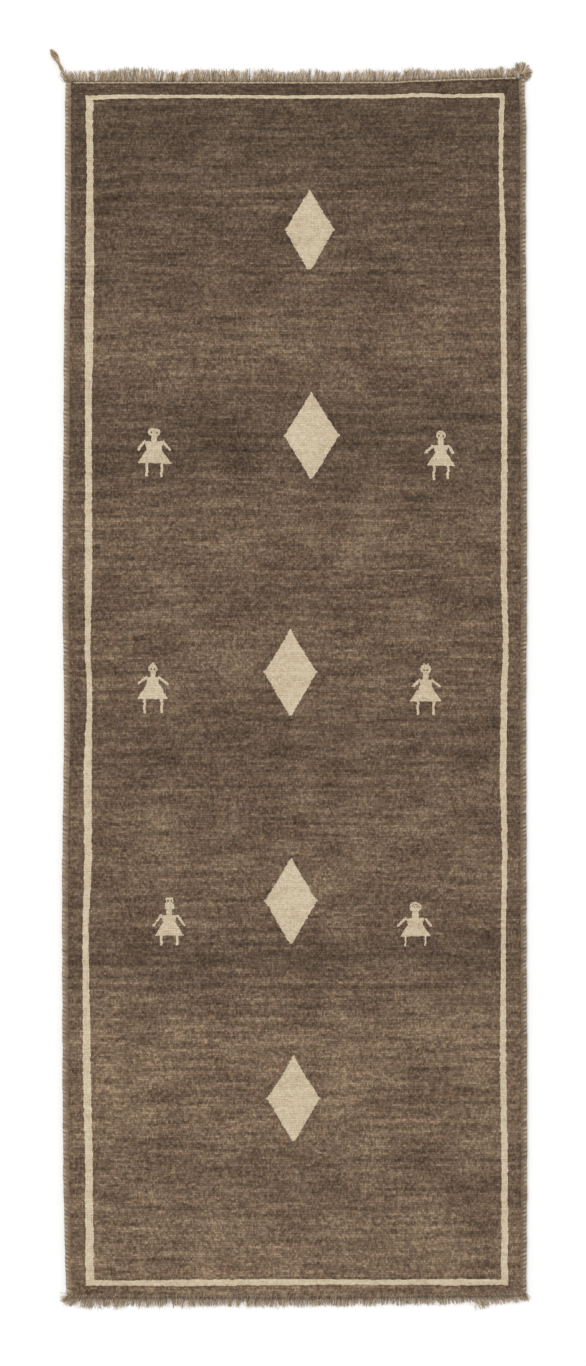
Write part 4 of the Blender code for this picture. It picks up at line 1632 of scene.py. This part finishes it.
        # Painted shade: the yarns darken within a short reach of the line they come out of, and the backing
        # strip behind that line takes the full amount.
        painted_root_shade = np.clip(1.0 - reach / self.painted_shade_reach, 0.0, 1.0) * self.root_painted_shade
        set_float(obj.data, "root", "POINT", painted_root_shade)
        name = self.end.name.lower()
        finish = SpunYarn(
            name=f"frayed_warp_yarn_{name}", dark="#735c44", middle="#b0987a", light="#dfcdb0",
            strand_weight=0.60,
        )
        settle(obj, "warp_fringe_" + name, finish.make())
        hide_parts("fringe_" + name)
        return obj


# The corner cord and the corner tuft


CORD_ROUTE = (
    (-0.3964, 1.0582),
    (-0.4000, 1.0654),
    (-0.4038, 1.0726),
    (-0.4072, 1.0796),
    (-0.4106, 1.0868),
    (-0.4142, 1.0940),
    (-0.4178, 1.1006),
    (-0.4212, 1.1062),
    (-0.4244, 1.1110),
)


@dataclass
class CornerCord:
    """Two strands twisted into a cord at the top left corner, parted at an eye near its tip."""

    radius: float = 0.0035
    strand_radius: float = 0.00165
    ply_radius: float = 0.00090
    turn: float = 0.0300
    eye_start: float = 0.60
    eye_end: float = 0.93
    eye_half_width: float = 0.0030
    steps: int = 90
    plies: int = 3
    knot_share: float = 0.955
    knot_halves: tuple[float, float] = (0.0024, 0.0022)
    knot_run: float = 0.0008
    knot_radius: float = 0.0007
    knot_steps: int = 18
    steps_in_a_knot_turn: int = 12

    def _frame(self, share: float) -> tuple[float, float, float, float]:
        """A point of the route on the floor, and the unit vector to its right."""
        place = min(max(share, 0.0), 1.0) * (len(CORD_ROUTE) - 1)
        xs, ys = zip(*CORD_ROUTE)
        stations = range(len(CORD_ROUTE))
        x, y = float(np.interp(place, stations, xs)), float(np.interp(place, stations, ys))
        before, after = max(place - 0.5, 0.0), min(place + 0.5, len(CORD_ROUTE) - 1.0)
        run_x = float(np.interp(after, stations, xs) - np.interp(before, stations, xs))
        run_y = float(np.interp(after, stations, ys) - np.interp(before, stations, ys))
        length = math.hypot(run_x, run_y)
        return x, y, run_y / length, -run_x / length

    def length(self) -> float:
        """Length of the route."""
        return sum(math.dist(a, b) for a, b in zip(CORD_ROUTE, CORD_ROUTE[1:]))

    def _ply(self, strand: int, ply: int) -> Fibre:
        """One ply of one strand, its points and radii."""
        points: list[Point] = []
        radii: list[float] = []
        twist = math.tau * self.eye_start * self.length() / self.turn
        for i in range(self.steps + 1):
            share = i / self.steps
            x, y, right_x, right_y = self._frame(share)
            untwisted = min(share / self.eye_start, 1.0)
            angle = math.pi * strand + twist * (untwisted - 1.0)
            into_eye = (share - self.eye_start) / (self.eye_end - self.eye_start)
            eye = math.sin(math.pi * min(max(into_eye, 0.0), 1.0))
            away = self.strand_radius + (self.eye_half_width - self.strand_radius) * max(eye, 0.0) ** 0.8
            if share > self.eye_end:
                away *= 1.0 - 0.75 * (share - self.eye_end) / (1.0 - self.eye_end)
            across, up = away * math.cos(angle), self.strand_radius * math.sin(angle)
            own = math.tau * ply / self.plies + 2.4 * twist * share
            # In the eye the plies open out, and leave no more than a slit between the two strands.
            inner = self.ply_radius * (0.95 + 0.70 * eye)
            across += inner * math.cos(own)
            up += inner * math.sin(own)
            points.append((x + right_x * across, y + right_y * across, self.radius + up))
            radii.append(self.ply_radius * (1.0 + 0.45 * eye))
        return points, radii

    def _knot(self) -> Fibre:
        """The last turn of yarn that binds the tip."""
        x, y, right_x, right_y = self._frame(self.knot_share)
        half_width, half_height = self.knot_halves
        points = []
        for i in range(self.knot_steps + 1):
            angle = math.tau * i / self.steps_in_a_knot_turn
            across, up = half_width * math.cos(angle), half_height * math.sin(angle)
            shift = self.knot_run * (i / self.knot_steps - 0.5)
            knot_x = x + right_x * across - right_y * shift
            knot_y = y + right_y * across + right_x * shift
            points.append((knot_x, knot_y, self.radius + up))
        return points, [self.knot_radius] * len(points)

    def build(self) -> bpy.types.Object:
        """Returns:
            The cord, which stands for its solid.
        """
        plies = [self._ply(strand, ply) for strand in range(2) for ply in range(self.plies)]
        shades = np.array([0.2, 0.6, 0.9, 0.3, 0.7, 0.5, 0.8])
        obj = spin_fibres("corner_cord_yarn", [*plies, self._knot()], 2, shades)
        set_float(obj.data, "root", "POINT", np.zeros(len(obj.data.vertices)))
        finish = SpunYarn(
            name="twisted_cord_yarn", dark="#735d44", middle="#a89173", light="#d4c19f", thread=300.0
        )
        settle(obj, "twisted_corner_cord", finish.make())
        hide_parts("corner_cord")
        self.length()
        return obj


@dataclass
class CornerTuft:
    """A brush of cut yarn ends at the top right corner."""

    outline: RugOutline
    foot_y: float = 1.0625
    neck: float = 0.0050
    head_radius: float = 0.0042
    first_angle: float = 128.0
    last_angle: float = -44.0
    yarns: int = 90
    steps: int = 6
    yarn_radius: float = 0.00060
    longest: float = 0.0200
    neck_yarns: int = 9
    neck_spacing: float = 0.0006
    seed: int = 29

    def build(self) -> bpy.types.Object:
        """Builds and dresses the tuft.

        Returns:
            The tuft, which stands for its solid.
        """
        rng = np.random.default_rng(self.seed)
        outline = self.outline
        head_x = float(outline.side(Hand.RIGHT, outline.length / 2)) - outline.selvedge_width / 2
        head_y = self.foot_y + self.neck
        fibres: list[Fibre] = []
        for i in range(self.yarns):
            share = (i + 0.5) / self.yarns
            angle = math.radians(self.first_angle + (self.last_angle - self.first_angle) * share)
            angle += rng.normal(0.0, 0.10)
            length = self.longest * (0.62 + 0.38 * math.sin(math.pi * min(1.0, 0.25 + 0.8 * share)))
            length *= rng.uniform(0.72, 1.0)
            bend = rng.normal(-0.15, 0.25)
            start_z = rng.uniform(0.0010, 0.0046)
            end_z = rng.uniform(0.0008, 0.0030)
            points: list[Point] = []
            px, py = head_x + 0.001 * math.cos(angle), head_y + 0.001 * math.sin(angle)
            steps = self.steps
            for k in range(steps + 1):
                part = k / steps
                lift = start_z + (end_z - start_z) * part + 0.0010 * math.sin(math.pi * part)
                points.append((px, py, lift))
                heading = angle + bend * part
                px += (length + 0.003) / steps * math.cos(heading)
                py += (length + 0.003) / steps * math.sin(heading)
            taper = [self.yarn_radius * (1.0 - 0.4 * k / steps) for k in range(steps + 1)]
            fibres.append((points, taper))
        for i in range(self.neck_yarns):
            from_middle = i - self.neck_yarns // 2
            across = from_middle * self.neck_spacing
            crown = self.neck_yarns // 2 - abs(from_middle)
            points = [
                (head_x + across * 0.9, self.foot_y - 0.0004, 0.0018 + 0.0003 * crown),
                (head_x + across * 0.7, self.foot_y + 0.0025, 0.0024 + 0.0004 * crown),
                (head_x + across, head_y + 0.001, 0.0028),
            ]
            fibres.append((points, [0.0008, 0.0008, 0.0007]))
        obj = spin_fibres("tuft_yarn", fibres, 1, rng.random(len(fibres)))
        points = points_of(obj.data)
        reach = np.hypot(points[:, 0] - head_x, points[:, 1] - head_y)
        # Painted shade: the yarns darken towards the head, where they bunch together.
        set_float(obj.data, "root", "POINT", np.clip(1.0 - reach / self.head_radius, 0.0, 1.0) * 0.6)
        finish = SpunYarn(
            name="cut_tuft_yarn", dark="#6b5640", middle="#a58d70", light="#d8c6a8", thread=500.0,
            strand_weight=0.60,
        )
        settle(obj, "cut_corner_tuft", finish.make())
        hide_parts("corner_tuft")
        return obj


# The studio


@dataclass
class Studio:
    """A plain pale floor, soft light from above, and a camera straight above the rug."""

    centre_x: float = -0.0043
    centre_y: float = 0.0121
    view_height: float = 2.3706
    camera_height: float = 6.0
    sensor: float = 24.0
    floor_drop: float = 0.0003
    sky_strength: float = 0.68
    lamp_place: Point = (-1.4, 1.9, 4.2)
    lamp_spread: float = 35.0
    lamp_strength: float = 1.40

    def floor(self) -> bpy.types.Object:
        """The floor, which isn't part of the rug."""
        deselect_all()
        bpy.ops.mesh.primitive_plane_add(size=14.0, location=(0.0, 0.0, -self.floor_drop))
        obj = bpy.context.active_object
        obj.name = "pale_floor"
        material = bpy.data.materials.new("pale_matt_floor")
        material.use_nodes = True
        tree = material.node_tree
        shader = tree.nodes["Principled BSDF"]
        coords = add_node(tree, "TexCoord").outputs["Object"]
        grain = add_node(tree, "TexNoise", {"Vector": coords, "Scale": 3.0, "Detail": 2.0}).outputs["Fac"]
        colour = ramp(tree, grain, ((0.3, "#fafafa"), (0.7, "#fcfcfc")))
        tree.links.new(colour, shader.inputs["Base Color"])
        shader.inputs["Roughness"].default_value = 0.9
        shader.inputs["Specular IOR Level"].default_value = 0.1
        obj.data.materials.append(material)
        return obj

    def lights(self) -> None:
        """An even sky and one large soft lamp, a little to the top left."""
        world = bpy.data.worlds.new("soft_studio")
        world.use_nodes = True
        background = world.node_tree.nodes["Background"]
        background.inputs["Color"].default_value = linear("#ffffff")
        background.inputs["Strength"].default_value = self.sky_strength
        bpy.context.scene.world = world
        deselect_all()
        bpy.ops.object.light_add(type="SUN", location=self.lamp_place)
        lamp = bpy.context.active_object
        lamp.name = "soft_lamp"
        lamp.data.angle = math.radians(self.lamp_spread)
        lamp.data.energy = self.lamp_strength
        lamp.data.color = (1.0, 0.995, 0.985)
        lamp.rotation_euler = Vector(self.lamp_place).to_track_quat("Z", "Y").to_euler()

    def camera(self) -> None:
        """The camera, straight above, framed as the photograph is."""
        data = bpy.data.cameras.new("camera_above")
        data.sensor_fit = "VERTICAL"
        data.sensor_height = self.sensor
        data.lens = self.sensor * self.camera_height / self.view_height
        data.clip_end = 40.0
        obj = bpy.data.objects.new("camera_above", data)
        obj.location = (self.centre_x, self.centre_y, self.camera_height)
        bpy.context.collection.objects.link(obj)
        bpy.context.scene.camera = obj

    def build(self) -> None:
        """Sets the stage."""
        self.floor()
        self.lights()
        self.camera()
        bpy.context.scene.view_settings.view_transform = "Standard"


def main() -> None:
    """Builds and dresses every piece of the rug, and sets the stage."""
    logging.basicConfig(level=logging.INFO, format="%(message)s")
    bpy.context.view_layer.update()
    outline = RugOutline()
    Studio().build()
    cord = CornerCord().build()
    wool = KnottedWool().make()
    knots = KnottedPile(outline)
    pile = knots.build(wool)
    fitted = [
        *(PileNap(knots, part).build(wool) for part in range(PileNap.parts)),
        OvercastSide(outline, Hand.LEFT, LEFT_WOOL, top=1.0532).build(),
        OvercastSide(outline, Hand.RIGHT, RIGHT_WOOL, top=1.0622).build(),
        TwinedRow(outline).build(),
        Fringe(
            outline, RugEnd.TOP, TOP_LIE, first=-0.3985, last=0.3840, root_offset=0.0074, seed=3,
            root_height=0.0042, strays=0,
        ).build(),
        Fringe(
            outline, RugEnd.BOTTOM, BOTTOM_LIE, first=-0.3960, last=0.3995, root_offset=0.0025, seed=5,
            root_height=0.0075, strays=650,
        ).build(),
        CornerTuft(outline).build(),
    ]
    LOG.info("cord %s, %.1f mm long", cord.name, CornerCord().length() / MILLIMETRE)


if __name__ == "__main__":
    main()
